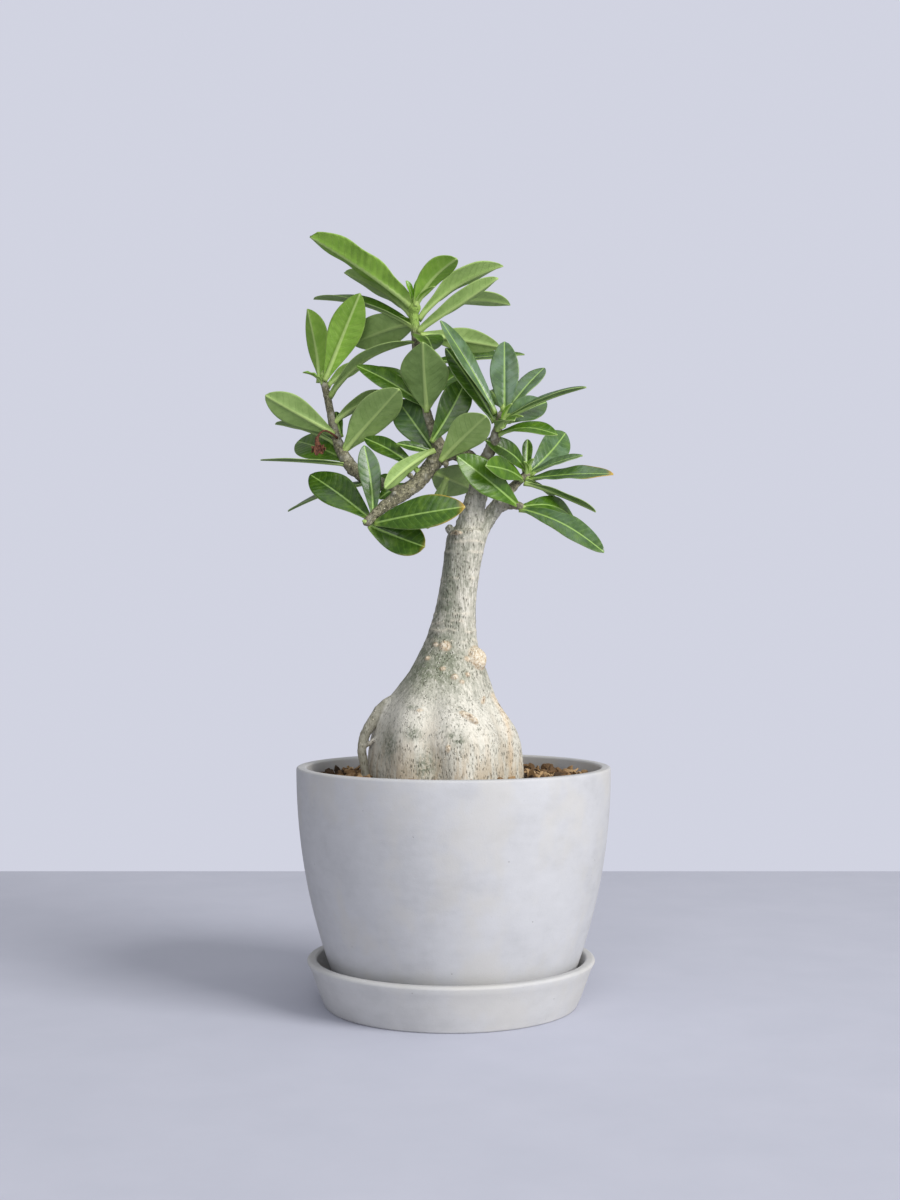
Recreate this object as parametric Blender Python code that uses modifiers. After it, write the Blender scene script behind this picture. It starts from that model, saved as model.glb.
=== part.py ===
"""A desert rose (adenium) growing in a round pot on its matching saucer.

Metres, +Z up. The origin is on the table, under the middle of the pot.
+X is the plant's right and +Y its back. Places and sizes are written in
millimetres and turned into metres with MM.
"""

import math

import bmesh
import bpy
import numpy as np
from mathutils import Vector

MM = 0.001
GAP = 0.3            # mm kept between pieces that rest on, or grow from, each other
MERGE = 0.00005      # m, smaller than any real edge

# Saucer
SAUCER_HEIGHT = 30.0
SAUCER_SHIFT = -1.6  # the pot stands this far off the middle of the saucer
SAUCER_FOOT_RADIUS = 81.0
SAUCER_RIM_RADIUS = 91.8
SAUCER_WALL = 6.5
SAUCER_FLOOR = 6.0
SAUCER_EDGE = 1.5    # rounding of the lip and of the foot
SAUCER_COVE = 3.0    # slope between the floor and the wall inside

# Pot
POT_HEIGHT = 145.2
POT_FOOT_RADIUS = 72.0
POT_RIM_RADIUS = 100.3
POT_SWELL = 2.1      # how quickly the wall flares out above the foot
POT_WALL = 6.5
POT_FLOOR = 8.0
POT_EDGE = 1.6       # rounding of the rim
POT_FOOT_RECESS = 3.0
POT_FOOT_RING = 9.0  # width of the ring that the pot stands on
POT_COVE = 4.0       # slope between the floor and the wall inside
DRAIN_RADIUS = 7.0
POT_SIDES = 56
POT_STATIONS = [POT_HEIGHT * share for share in (0, 0.12, 0.22, 0.34, 0.48, 0.64, 0.82, 1)]

# Potting mix
SOIL_DEPTH_BELOW_RIM = 10.5
SOIL_CROWN = 3.0     # the mix is heaped this much higher against the caudex
SOIL_CROWN_RADIUS = 45.0
SOIL_CROWN_FOOT = 62.0

# Leaf
LEAF_THICKNESS = 0.9
LEAF_BASE_WIDTH = 2.2
LEAF_TIP_WIDTH = 2.0
LEAF_STATIONS = 7    # steps along the midrib
LEAF_WIDEST = 0.63   # the blade is widest this far along, which makes it obovate

POT_BASE_Z = SAUCER_FLOOR + GAP
POT_RIM_Z = POT_BASE_Z + POT_HEIGHT
SOIL_Z = POT_RIM_Z - SOIL_DEPTH_BELOW_RIM

# The caudex and trunk, ring by ring: height, middle x and y, radius, depth of the lobes.
TRUNK = [
    (104, -2, 3, 24, 0.10),
    (112, -3, 2, 38, 0.09),
    (126, -4, 1, 47, 0.08),
    (143, -4, 0, 49, 0.065),
    (162, -4, 0, 48, 0.055),
    (176, -4, 0, 45.5, 0.05),
    (189, -7, 0, 37.5, 0.04),
    (202, -5, 0, 29.5, 0.035),
    (215, -3, 0, 22.5, 0.03),
    (228, -1, 0, 16, 0.03),
    (241, 2, 0, 13.5, 0.03),
    (258, 4, 0, 12.2, 0.03),
    (280, 7, 0, 12, 0.03),
    (294, 9, 0, 13, 0.03),
    (302, 10, 0, 11.5, 0.03),
]
TRUNK_SIDES = 28
TRUNK_RINGS = 22
TRUNK_LOBES = 6
TRUNK_GROOVE = math.radians(-98)   # one groove between lobes faces the front
TRUNK_OVAL = 0.4     # share of the lobes' depth that makes the caudex oval instead

# Branches: the route of each, as x, y, z and radius.
BRANCHES = {
    "surface_root": [
        (-38, -6, 194, 4), (-44, -7, 191, 4), (-51, -8, 181, 3.4), (-57, -10, 170, 2.8),
        (-58, -12, 161, 2.5), (-56.5, -13, 153, 2.4), (-54, -13, 136, 2.2),
    ],
    "branch_middle": [
        (8, 0, 296, 8.5), (11, -1, 312, 8), (16, -2, 327, 7), (19, -7, 343, 4.6),
        (26, -16, 359, 3.6), (30.5, -24, 376, 2.6),
    ],
    "branch_centre": [
        (17, -3, 336, 6.2), (11, -5, 346, 6), (2, -8, 351.5, 5.6), (-7, -9, 352, 5),
        (-12.5, -8, 364, 3.6), (-17.5, -6, 379, 2.9), (-22, -2, 405, 2.5), (-24, 0, 427, 2.3),
        (-26, 0, 445, 1.9),
    ],
    "branch_low": [
        (-4, -9, 350.5, 5.2), (-12.5, -10.5, 345, 5.4), (-18.5, -12, 336.5, 5.3), (-25, -15, 329.5, 5),
        (-37, -21, 320.5, 4.4), (-46, -25, 313.5, 3.7), (-54, -28, 305, 2.6),
    ],
    "branch_left": [
        (-31, -18, 325, 4.2), (-47, -13, 331, 4.3), (-63, -4, 340, 4.4), (-72, 5, 353, 3.9),
        (-78, 12, 370, 3), (-81.5, 17, 387, 2.7), (-85.5, 20, 403, 2.4),
    ],
    "branch_right": [
        (16.5, 1, 296, 5.6), (20.5, 2, 306, 5.3), (26.5, 3, 316, 4.9), (35.5, 5, 327.5, 3.4),
        (42.5, 6, 335, 2.8), (48, 7, 339, 2.4),
    ],
    "branch_stub": [
        (27, 2, 317, 4.2), (35.5, -2, 319, 3.6), (43, -6, 317, 2.5),
    ],
}

# Leaves, twig by twig. Each is where its midrib starts, inside the twig, and ends, as x, y, z;
# its width; the way its upper side faces; how far its middle arches to that side, as a share of
# its length; and its fold, which is the rise of its edges for each mm from the midrib.
LEAVES = {
    "top": [
        ((-27, -1, 446), (-91, -10, 488), 22, (0, 0.5, 1), 0.03, 0.65),
        ((-26, 1, 440), (-72, 34, 475), 22, (0, 0.6, 1), 0.05, 0.2),
        ((-25, -1, 433), (-93, 40, 459), 18, (0, -0.3, 1), 0.06, 0.5),
        ((-24, 2, 436), (-67, 28, 427), 24, (0, 1, 0.5), 0.06, 0.15),
        ((-25, -3, 446), (2, -20, 472), 19, (-0.6, 0.8, 0.6), 0.1, 0.4),
        ((-23, 1, 438), (32, 14, 475), 24, (0, 0.4, 1), 0.08, 0.4),
        ((-23, -1, 430), (28, -14, 461), 16, (0, 0.3, 1), -0.02, 0.5),
        ((-24, 4, 431), (38, 50, 457), 20, (0, 0.3, 1), 0.13, 0.2),
        ((-22, 0, 428), (30, 8, 421), 16, (0, 1, 0.5), 0.08, 0.15),
        ((-23, -1, 425), (-13, -28, 413), 20, (0, -0.2, 1), 0.15, 0.2),
        ((-20, 0, 409), (47, 34, 421), 14, (0, -0.7, 1), 0.02, 0.2),
    ],
    "top_left": [
        ((-84, 19, 401), (-60, 4, 455), 22, (0, 1, 0.2), 0.04, 0.15),
        ((-87, 21, 400), (-96, 30, 450), 22, (0.7, 0.8, 0.2), 0.05, 0.3),
        ((-83, 21, 398), (-60, 34, 413), 13, (0, 0.8, 1), 0.08, 0.2),
        ((-81, 17, 391), (-25, -17, 420), 18, (0, -0.2, 1), 0.1, 0.5),
    ],
    "left": [
        ((-77, 9, 365), (-120, -6, 388), 20, (0, 1, 0.5), 0.05, 0.15),
        ((-76, 10, 360), (-117, 26, 374), 16, (0, 0.2, 1), 0.05, 0.15),
        ((-71, 4, 353), (-34, -27, 389), 26, (-0.4, 1, 0.3), 0.06, 0.2),
        ((-78, 13, 373), (-43, 16, 393), 14, (0, 0.8, 1), 0.1, 0.2),
        ((-68, 1, 347), (-104, 41, 364), 24, (0.1, -1, 0.3), 0.05, 0.15),
        ((-67, -1, 345), (-123, -6, 347), 16, (0, 0, 1), 0.01, 0.1),
    ],
    "low_left": [
        ((-52, -26, 308), (-92, 0, 338), 24, (0.2, -1, 0.5), 0.06, 0.15),
        ((-50, -27, 310), (-56, -24, 354), 14, (0.2, -1, 0), 0.04, 0.2),
        ((-50, -13, 333), (-108, 17, 316), 14, (0, -0.5, 1), 0.04, 0.2),
        ((-50, -28, 305), (7, -46, 314), 22, (0, -1, 0.4), 0.06, 0.15),
        ((-53, -27, 304), (-18, -35, 290), 22, (0, -1, 0.3), -0.1, 0.15),
    ],
    "centre": [
        ((-17, -7, 378), (-19, -40, 416), 30, (0.1, 1, 0.6), 0.03, 0.15),
        ((-18, -4, 383), (-41, 24, 396), 15, (0, -0.5, 1), 0.05, 0.15),
        ((-17, -6, 381), (-62, -6, 407), 15, (0, -1, 0.6), 0.04, 0.15),
        ((-20, -3, 392), (-51, 12, 409), 12, (0, -0.2, 1), 0.05, 0.3),
        ((-11, -8, 350), (-36, 4, 386), 22, (-0.3, -1, 0.3), 0.04, 0.15),
        ((-22, -16, 339), (-57, -3, 361), 13, (0, -1, 0.7), 0.06, 0.2),
        ((-14, -15, 357), (8, -11, 397), 20, (0.3, -1, 0.2), 0.04, 0.15),
        ((-8, -14, 346), (20, -43, 370), 23, (-0.25, 1, 0.1), 0.06, 0.2),
        ((-13, -16, 352), (-43, -38, 326), 13, (-0.3, 1, 0.6), 0.06, 0.3),
        ((-14, -9, 339), (13, 30, 331), 26, (0, 0.8, 0.4), 0.04, 0.15),
        ((-16, -1, 388), (12, 28, 411), 20, (-0.4, -1, 0.5), 0.04, 0.2),
    ],
    "right": [
        ((27, -24, 374), (-8, -30, 431), 17, (0.8, -0.8, 0.5), 0.03, 0.15),
        ((32, -22, 375), (32, -18, 420), 18, (0, -1, 0.1), 0.04, 0.15),
        ((30, -25, 370), (82, -35, 389), 14, (0, -0.3, 1), 0.04, 0.4),
        ((31, -20, 373), (59, 16, 409), 14, (0, -0.5, 1), 0.05, 0.2),
        ((30, -23, 368), (59, -11, 383), 19, (0, -1, 0.6), 0.05, 0.15),
        ((26, -22, 369), (-5, -18, 416), 15, (0.3, -1, 0.3), 0.03, 0.2),
        ((27, -23, 365), (37, -46, 367), 12, (0, -0.6, 1), 0.1, 0.2),
        ((28, -22, 362), (64, -38, 359), 14, (0, -0.8, 1), 0.1, 0.2),
    ],
    "far_right": [
        ((47, 7, 341), (20, -19, 358), 15, (0.1, -1, 0.5), 0.13, 0.15),
        ((47, 8, 338), (75, 44, 370), 20, (0.3, -1, 0.3), 0.05, 0.15),
        ((45, 3, 335), (20, -37, 340), 16, (0, -1, 0.3), 0.06, 0.15),
        ((48, 6, 336), (102, -4, 338), 18, (0, -0.7, 1), 0.03, 0.2),
        ((48, 6, 339), (83, 5, 351), 12, (0, -0.4, 1), 0.03, 0.2),
        ((46, 5, 334), (91, -4, 314), 12, (0.3, 0, 1), 0.02, 0.4),
    ],
    "right_stub": [
        ((42, -6, 317), (2, -28, 347), 21, (0.1, -1, 0.25), 0.08, 0.15),
        ((42, -5, 317), (79, 10, 309), 20, (0, -1, 1), 0.17, 0.15),
        ((42, -7, 316), (94, -26, 287), 17, (0.3, -1, 0.6), 0.08, 0.15),
    ],
}
BRANCH_STEPS = 3        # steps between two points of a route
BRANCH_ROUNDNESS = 2    # bevel resolution, which gives eight sides


def metres(*lengths):
    return Vector([length * MM for length in lengths])


def material(name, colour, roughness):
    made = bpy.data.materials.new(name)
    made.use_nodes = True
    surface = made.node_tree.nodes["Principled BSDF"]
    surface.inputs["Base Color"].default_value = (*colour, 1)
    surface.inputs["Roughness"].default_value = roughness
    return made


def collection(name, hidden=False):
    made = bpy.data.collections.new(name)
    bpy.context.scene.collection.children.link(made)
    made.hide_render = hidden
    return made


def add(name, mesh, into, finish=None):
    """One named object of the collection, at the origin, with its place in its mesh."""
    made = bpy.data.objects.new(name, mesh)
    into.objects.link(made)
    if finish:
        mesh.materials.append(finish)
        mesh.shade_smooth()
        mesh.set_sharp_from_angle(angle=math.radians(40))
    else:
        made.hide_render = True
        made.display_type = "WIRE"
    return made


def through(rows, steps):
    """Rows of numbers with steps - 1 more between each two, on a smooth curve through all of them."""
    found = []
    for i in range(len(rows) - 1):
        a, b, c, d = (rows[max(0, min(len(rows) - 1, i + k))] for k in (-1, 0, 1, 2))
        for step in range(steps):
            t = step / steps
            found.append([
                0.5 * (2 * q + (r - p) * t + (2 * p - 5 * q + 4 * r - s) * t**2
                       + (3 * q - p - 3 * r + s) * t**3)
                for p, q, r, s in zip(a, b, c, d)
            ])
    return found + [list(rows[-1])]


def turned(name, outline, into, finish, sides):
    """An outline of (radius, height) in mm, turned about the Z axis."""
    mesh = bpy.data.meshes.new(name)
    points = [metres(radius, 0, height) for radius, height in outline]
    closed = outline[0][0] > 0
    edges = [(i, i + 1) for i in range(len(points) - 1)]
    mesh.from_pydata(points, edges + ([(len(points) - 1, 0)] if closed else []), [])
    made = add(name, mesh, into, finish)
    screw = made.modifiers.new("turn", "SCREW")
    screw.steps = screw.render_steps = sides
    screw.use_merge_vertices = True
    screw.merge_threshold = MERGE
    screw.use_normal_calculate = True
    return made


def pot_outer(height):
    """Radius of the pot's outside, at a height above its own foot."""
    return POT_FOOT_RADIUS + (POT_RIM_RADIUS - POT_FOOT_RADIUS) * (
        1 - (1 - height / POT_HEIGHT) ** POT_SWELL
    )


def pot_inner(height):
    """Radius of the pot's inside, straight between its stations."""
    return float(np.interp(height, POT_STATIONS, [pot_outer(h) - POT_WALL for h in POT_STATIONS]))


def arc(radius, height, size, start, end, steps=3):
    """Points of a round edge of that size about (radius, height), between two angles in degrees."""
    return [
        (radius + size * math.cos(math.radians(a)), height + size * math.sin(math.radians(a)))
        for a in [start + (end - start) * i / steps for i in range(steps + 1)]
    ]


def build_saucer(into, finish):
    edge = SAUCER_EDGE
    inner_rim = SAUCER_RIM_RADIUS - SAUCER_WALL
    inner_foot = inner_rim - (SAUCER_RIM_RADIUS - SAUCER_FOOT_RADIUS) * (1 - SAUCER_FLOOR / SAUCER_HEIGHT)
    outline = [(0, SAUCER_FLOOR), (inner_foot - SAUCER_COVE, SAUCER_FLOOR)]
    outline += [(inner_foot + 1, SAUCER_FLOOR + SAUCER_COVE)]
    outline += arc(inner_rim + edge, SAUCER_HEIGHT - edge, edge, 180, 90)
    outline += arc(SAUCER_RIM_RADIUS - edge, SAUCER_HEIGHT - edge, edge, 90, 0)
    outline += arc(SAUCER_FOOT_RADIUS - edge, edge, edge, -10, -90)
    outline += [(0, 0)]
    made = turned("saucer", outline, into, finish, POT_SIDES)
    made.location.x = SAUCER_SHIFT * MM
    return made


def build_pot(into, finish):
    """The wall, the rounded rim, and a floor with a foot ring and one drainage hole."""
    up = POT_STATIONS[1:-1]
    top = POT_HEIGHT - POT_EDGE
    outline = [(DRAIN_RADIUS, POT_FLOOR), (pot_inner(POT_FLOOR) - POT_COVE, POT_FLOOR)]
    outline += [(pot_inner(h), h) for h in up]
    outline += arc(pot_inner(top) + POT_EDGE, top, POT_EDGE, 180, 90)
    outline += arc(POT_RIM_RADIUS - POT_EDGE, top, POT_EDGE, 90, 0)
    outline += [(pot_outer(h), h) for h in reversed(up)]
    ring_inside = POT_FOOT_RADIUS - POT_FOOT_RING
    outline += [(POT_FOOT_RADIUS - POT_EDGE, 0), (ring_inside, 0)]
    outline += [(ring_inside - POT_FOOT_RECESS, POT_FOOT_RECESS), (DRAIN_RADIUS, POT_FOOT_RECESS)]
    return turned("pot", [(r, z + POT_BASE_Z) for r, z in outline], into, finish, POT_SIDES)


def build_soil(into, finish):
    """The potting mix that fills the pot, a little heaped towards the caudex."""
    low = POT_FLOOR + GAP
    surface = SOIL_Z - POT_BASE_Z
    heights = [h for h in POT_STATIONS[1:] if h < surface] + [surface]
    top = surface + SOIL_CROWN
    outline = [(0, top), (SOIL_CROWN_RADIUS, top), (SOIL_CROWN_FOOT, surface + SOIL_CROWN / 2)]
    outline += [(pot_inner(h) - GAP, h) for h in reversed(heights)]
    outline += [(pot_inner(low) - POT_COVE - GAP, low), (0, low)]
    return turned("potting_mix", [(r, z + POT_BASE_Z) for r, z in outline], into, finish, POT_SIDES)


def trunk_mesh(name, grow=0.0):
    """The lobed caudex and the round neck above it: a cylinder whose rings are set one by one."""
    form = bmesh.new()
    bmesh.ops.create_cone(form, cap_ends=True, segments=TRUNK_SIDES, radius1=1, radius2=1, depth=1)
    upright = [e for e in form.edges if abs(e.verts[0].co.z - e.verts[1].co.z) > 0.5]
    bmesh.ops.subdivide_edges(form, edges=upright, cuts=TRUNK_RINGS - 1)
    spans = len(TRUNK) - 1
    rings = through(TRUNK, TRUNK_RINGS)
    for vertex in form.verts:
        share = vertex.co.z + 0.5
        height, x, y, radius, lobe = rings[round(share * spans * TRUNK_RINGS)]
        turn = math.atan2(vertex.co.y, vertex.co.x)
        wave = -math.cos(TRUNK_LOBES * (turn - TRUNK_GROOVE)) + TRUNK_OVAL * math.sin(2 * turn + 1)
        reach = radius * (1 + lobe * wave) + grow
        height += grow * (share * 2 - 1)
        vertex.co = metres(x + reach * math.cos(turn), y + reach * math.sin(turn), height)
    mesh = bpy.data.meshes.new(name)
    form.to_mesh(mesh)
    form.free()
    return mesh


def branch_mesh(name, route, grow=0.0):
    """A tapering tube along a smooth curve through the route."""
    points = through(route, BRANCH_STEPS)
    curve = bpy.data.curves.new(name, "CURVE")
    curve.dimensions = "3D"
    curve.bevel_depth = MM
    curve.bevel_resolution = BRANCH_ROUNDNESS
    curve.use_fill_caps = True
    line = curve.splines.new("POLY")
    line.points.add(len(points) - 1)
    for knot, (x, y, z, radius) in zip(line.points, points):
        knot.co = (*metres(x, y, z), 1)
        knot.radius = radius + grow
    guide = bpy.data.objects.new(name + "_guide", curve)
    bpy.context.scene.collection.objects.link(guide)
    bpy.context.view_layer.update()
    mesh = bpy.data.meshes.new_from_object(guide.evaluated_get(bpy.context.evaluated_depsgraph_get()))
    bpy.data.objects.remove(guide)
    form = bmesh.new()
    form.from_mesh(mesh)
    bmesh.ops.remove_doubles(form, verts=form.verts, dist=MERGE)
    form.to_mesh(mesh)
    form.free()
    return mesh


def combine(made, operation, *others):
    for other in others:
        boolean = made.modifiers.new(other.name, "BOOLEAN")
        boolean.operation = operation
        boolean.object = other


def build_wood(name, into, cutters, grow=0.0, finish=None):
    """The caudex, its trunk, its branches and its surface root, grown together as one body."""
    made = add(name, trunk_mesh(name, grow), into, finish)
    for branch, route in BRANCHES.items():
        arm = add(name + "_" + branch, branch_mesh(branch, route, grow), cutters)
        combine(made, "UNION", arm)
    return made


def leaf_half_width(along, width):
    """Half the blade's width at that share of its length: narrow, then widest past the middle, then round."""
    power = math.log(0.5) / math.log(LEAF_WIDEST)
    ends = LEAF_BASE_WIDTH + (LEAF_TIP_WIDTH - LEAF_BASE_WIDTH) * along
    swell = math.sin(math.pi * along**power) ** 0.75 if 0 < along < 1 else 0
    return (ends + (width - ends) * swell) / 2


def build_leaf(name, leaf, into, finish):
    """A folded and arched blade: a grid laid along the line from its base to its tip."""
    base, tip, width, faces, arch, fold = leaf
    span = Vector(tip) - Vector(base)
    ahead = span.normalized()
    upper = (Vector(faces) - Vector(faces).project(ahead)).normalized()
    across = ahead.cross(upper)
    form = bmesh.new()
    bmesh.ops.create_grid(form, x_segments=LEAF_STATIONS, y_segments=2, size=1)
    for vertex in form.verts:
        along = (vertex.co.x + 1) / 2
        side = vertex.co.y * leaf_half_width(along, width)
        rise = fold * abs(side) + arch * span.length * math.sin(math.pi * along)
        vertex.co = metres(*(Vector(base) + span * along + across * side + upper * rise))
    mesh = bpy.data.meshes.new(name)
    form.to_mesh(mesh)
    form.free()
    made = add(name, mesh, into, finish)
    blade = made.modifiers.new("thickness", "SOLIDIFY")
    blade.thickness = LEAF_THICKNESS * MM
    blade.offset = 0
    return made


def main():
    for old in list(bpy.data.objects):
        bpy.data.objects.remove(old)
    parts = collection("potted_desert_rose")
    cutters = collection("cutters", hidden=True)
    shell = material("pale_moulded_shell", (0.62, 0.62, 0.64), 0.6)
    mix = material("bark_mix", (0.16, 0.09, 0.05), 0.95)
    bark = material("grey_green_bark", (0.46, 0.45, 0.38), 0.75)
    leaf_green = material("leaf_green", (0.05, 0.16, 0.03), 0.35)
    build_saucer(parts, shell)
    build_pot(parts, shell)
    soil = build_soil(parts, mix)
    build_wood("caudex_and_branches", parts, cutters, finish=bark)
    room = build_wood("room_for_wood", cutters, cutters, grow=GAP)
    combine(soil, "DIFFERENCE", room)
    for twig, leaves in LEAVES.items():
        for number, leaf in enumerate(leaves, 1):
            made = build_leaf(f"leaf_{twig}_{number}", leaf, parts, leaf_green)
            combine(made, "DIFFERENCE", room)


main()
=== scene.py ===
"""A desert rose (adenium) in a round pale pot: its looks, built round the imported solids."""

import math
import random

import bpy
import numpy as np
from mathutils import Euler, Matrix, Vector, noise


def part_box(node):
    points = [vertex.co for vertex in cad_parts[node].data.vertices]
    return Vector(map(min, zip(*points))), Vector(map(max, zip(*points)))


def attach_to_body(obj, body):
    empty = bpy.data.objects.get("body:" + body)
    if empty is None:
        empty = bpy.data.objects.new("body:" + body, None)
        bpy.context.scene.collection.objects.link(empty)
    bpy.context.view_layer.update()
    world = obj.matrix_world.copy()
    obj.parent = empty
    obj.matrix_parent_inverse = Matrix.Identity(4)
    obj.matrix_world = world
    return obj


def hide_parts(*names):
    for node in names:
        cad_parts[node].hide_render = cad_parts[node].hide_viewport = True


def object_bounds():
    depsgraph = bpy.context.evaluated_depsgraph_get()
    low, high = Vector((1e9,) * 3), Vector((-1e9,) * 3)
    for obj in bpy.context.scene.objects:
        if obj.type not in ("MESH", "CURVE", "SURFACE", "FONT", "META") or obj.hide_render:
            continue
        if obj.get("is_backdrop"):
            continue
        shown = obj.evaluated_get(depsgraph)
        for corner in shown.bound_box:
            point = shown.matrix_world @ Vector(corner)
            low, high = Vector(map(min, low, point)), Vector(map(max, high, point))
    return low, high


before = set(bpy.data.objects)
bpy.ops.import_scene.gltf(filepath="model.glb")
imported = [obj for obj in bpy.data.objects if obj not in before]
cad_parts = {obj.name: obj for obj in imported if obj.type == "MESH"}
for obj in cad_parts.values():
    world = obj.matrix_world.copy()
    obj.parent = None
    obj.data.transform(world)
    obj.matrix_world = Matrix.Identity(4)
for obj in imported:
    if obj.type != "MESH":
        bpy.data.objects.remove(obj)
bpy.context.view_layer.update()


# ----------------------------------------------------------
# Saucer
# A shallow round dish that the pot only rests in. It is cast in one piece from stone powder and
# resin, so its skin is matt and faintly clouded, and its foot and lip are rounded over.

MM = 0.001
SAUCER_FOOT = 81.0
SAUCER_WALL = 6.5
SAUCER_FLOOR = 6.0
SAUCER_HEEL = 1.8     # how far the foot's edge is rounded
SAUCER_LIP = 1.9      # how far the lip's two edges are rounded
FOOT_HOLLOW = 0.9     # how far the underside is lifted inside the foot
TURNED_SIDES = 144


def only(*chosen):
    """Leaves the given objects selected, the first of them active, in object mode."""
    if bpy.context.mode != "OBJECT":
        bpy.ops.object.mode_set(mode="OBJECT")
    bpy.ops.object.select_all(action="DESELECT")
    for one in chosen:
        one.select_set(True)
    if chosen:
        bpy.context.view_layer.objects.active = chosen[0]


def arc(radius, height, size, start, end, steps=5):
    """Steps of a round edge of that size about (radius, height), between two angles in degrees."""
    angles = [math.radians(start + (end - start) * i / steps) for i in range(steps + 1)]
    return [(radius + size * math.cos(a), height + size * math.sin(a)) for a in angles]


def face_outwards(made):
    """Merges doubled points and turns every face outwards."""
    only(made)
    bpy.ops.object.mode_set(mode="EDIT")
    bpy.ops.mesh.select_all(action="SELECT")
    bpy.ops.mesh.remove_doubles(threshold=0.00001)
    bpy.ops.mesh.normals_make_consistent(inside=False)
    bpy.ops.object.mode_set(mode="OBJECT")


def belongs(made, slot, *solids):
    """Every piece rides on the one body, and most stand for solids."""
    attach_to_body(made, "root")
    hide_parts(*solids)


def turned(name, outline, middle=(0.0, 0.0), filled=True):
    """A closed shell: a disc or ring extruded and scaled through (radius, height) steps in mm."""
    only()
    radius, height = outline[0]
    bpy.ops.mesh.primitive_circle_add(
        vertices=TURNED_SIDES, radius=radius * MM, fill_type="TRIFAN" if filled else "NOTHING",
        location=(middle[0], middle[1], height * MM),
    )
    made = bpy.context.object
    made.name = made.data.name = name
    bpy.ops.object.mode_set(mode="EDIT")
    for wider, higher in outline[1:]:
        bpy.ops.mesh.extrude_region_move(
            TRANSFORM_OT_translate={"value": (0, 0, (higher - height) * MM)}
        )
        bpy.ops.transform.resize(
            value=(wider / radius, wider / radius, 1),
            center_override=(middle[0], middle[1], higher * MM),
        )
        radius, height = wider, higher
    face_outwards(made)
    bpy.ops.object.transform_apply(location=True, rotation=True, scale=True)
    bpy.ops.object.shade_smooth_by_angle(angle=math.radians(50))
    return made


class Value:
    """A number that changes over a surface: Python arithmetic on it adds Math nodes."""

    def __init__(self, finish, socket):
        self.finish = finish
        self.socket = socket

    def maths(self, operation, first, second=0.0, clamp=False):
        settings = {"operation": operation, "use_clamp": clamp}
        return self.finish.node("ShaderNodeMath", "Value", {0: first, 1: second}, settings)

    def __add__(self, other):
        return self.maths("ADD", self, other)

    def __sub__(self, other):
        return self.maths("SUBTRACT", self, other)

    def __rsub__(self, other):
        return self.maths("SUBTRACT", other, self)

    def __mul__(self, other):
        return self.maths("MULTIPLY", self, other)

    __radd__ = __add__
    __rmul__ = __mul__

    def size(self):
        return self.maths("ABSOLUTE", self)

    def clamped(self):
        return self.maths("ADD", self, 0.0, clamp=True)

    def step(self, low, high):
        """0 below low, 1 above high, and smooth between. With low above high it falls instead."""
        return self.finish.node(
            "ShaderNodeMapRange", "Result", {"Value": self, "From Min": low, "From Max": high},
            {"interpolation_type": "SMOOTHSTEP"},
        )


class Finish:
    """A material being mixed. node() adds any node, and paint() connects its surface."""

    def __init__(self, name):
        self.material = bpy.data.materials.new(name)
        self.material.use_nodes = True
        self.tree = self.material.node_tree
        self.surface = self.tree.nodes["Principled BSDF"]
        self.place = self.node("ShaderNodeTexCoord", "Object")

    def plug(self, value, socket):
        if isinstance(value, Value):
            self.tree.links.new(value.socket, socket)
        else:
            socket.default_value = value

    def node(self, kind, output, inputs=None, settings=None):
        """Adds a node, with its settings first, and gives the output of that name or number."""
        made = self.tree.nodes.new(kind)
        for name, value in (settings or {}).items():
            if name == "stops":
                while len(made.color_ramp.elements) < len(value):
                    made.color_ramp.elements.new(1.0)
                for stop, (position, colour) in zip(made.color_ramp.elements, value):
                    stop.position = position
                    stop.color = (*colour, 1)
            else:
                setattr(made, name, value)
        for name, value in (inputs or {}).items():
            self.plug(value, made.inputs[name])
        return Value(self, made.outputs[output])

    def stretched(self, scale):
        """Object coordinates scaled by axis, so that a pattern on them runs long or short."""
        return self.node("ShaderNodeMapping", "Vector", {"Vector": self.place, "Scale": scale})

    def cloud(self, size, detail=3.0, roughness=0.5, place=None):
        """Soft noise from 0 to 1 with blots of about that size in mm."""
        return self.node("ShaderNodeTexNoise", "Fac", {
            "Vector": place or self.place, "Scale": 1 / (size * MM), "Detail": detail,
            "Roughness": roughness,
        })

    def cells(self, size, place=None):
        """Distance from the nearest of scattered points, which are about that far apart in mm."""
        scatter = {"Vector": place or self.place, "Scale": 1 / (size * MM)}
        return self.node("ShaderNodeTexVoronoi", "Distance", scatter)

    def attribute(self, name):
        return self.node("ShaderNodeAttribute", "Fac", settings={"attribute_name": name})

    def ramp(self, value, *stops):
        return self.node("ShaderNodeValToRGB", "Color", {"Fac": value}, {"stops": stops})

    def blend(self, share, first, second):
        """A colour between two colours, each a link or three numbers."""
        first, second = (c if isinstance(c, Value) else (*c, 1) for c in (first, second))
        sockets = {0: share, 6: first, 7: second}
        return self.node("ShaderNodeMix", 2, sockets, {"data_type": "RGBA"})

    def layers(self, colour, *coats):
        """More colours laid over the first one, each by its own share."""
        for share, coat in coats:
            colour = self.blend(share, colour, coat)
        return colour

    def paint(self, relief=None, depth=0.1, **sockets):
        """Sets the surface's sockets. relief from 0 to 1 stands up by depth, in mm."""
        for name, value in sockets.items():
            self.plug(value, self.surface.inputs[name.replace("_", " ")])
        if relief is not None:
            bump = {"Height": relief, "Distance": depth * MM}
            self.plug(self.node("ShaderNodeBump", "Normal", bump), self.surface.inputs["Normal"])
        return self.material


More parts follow.
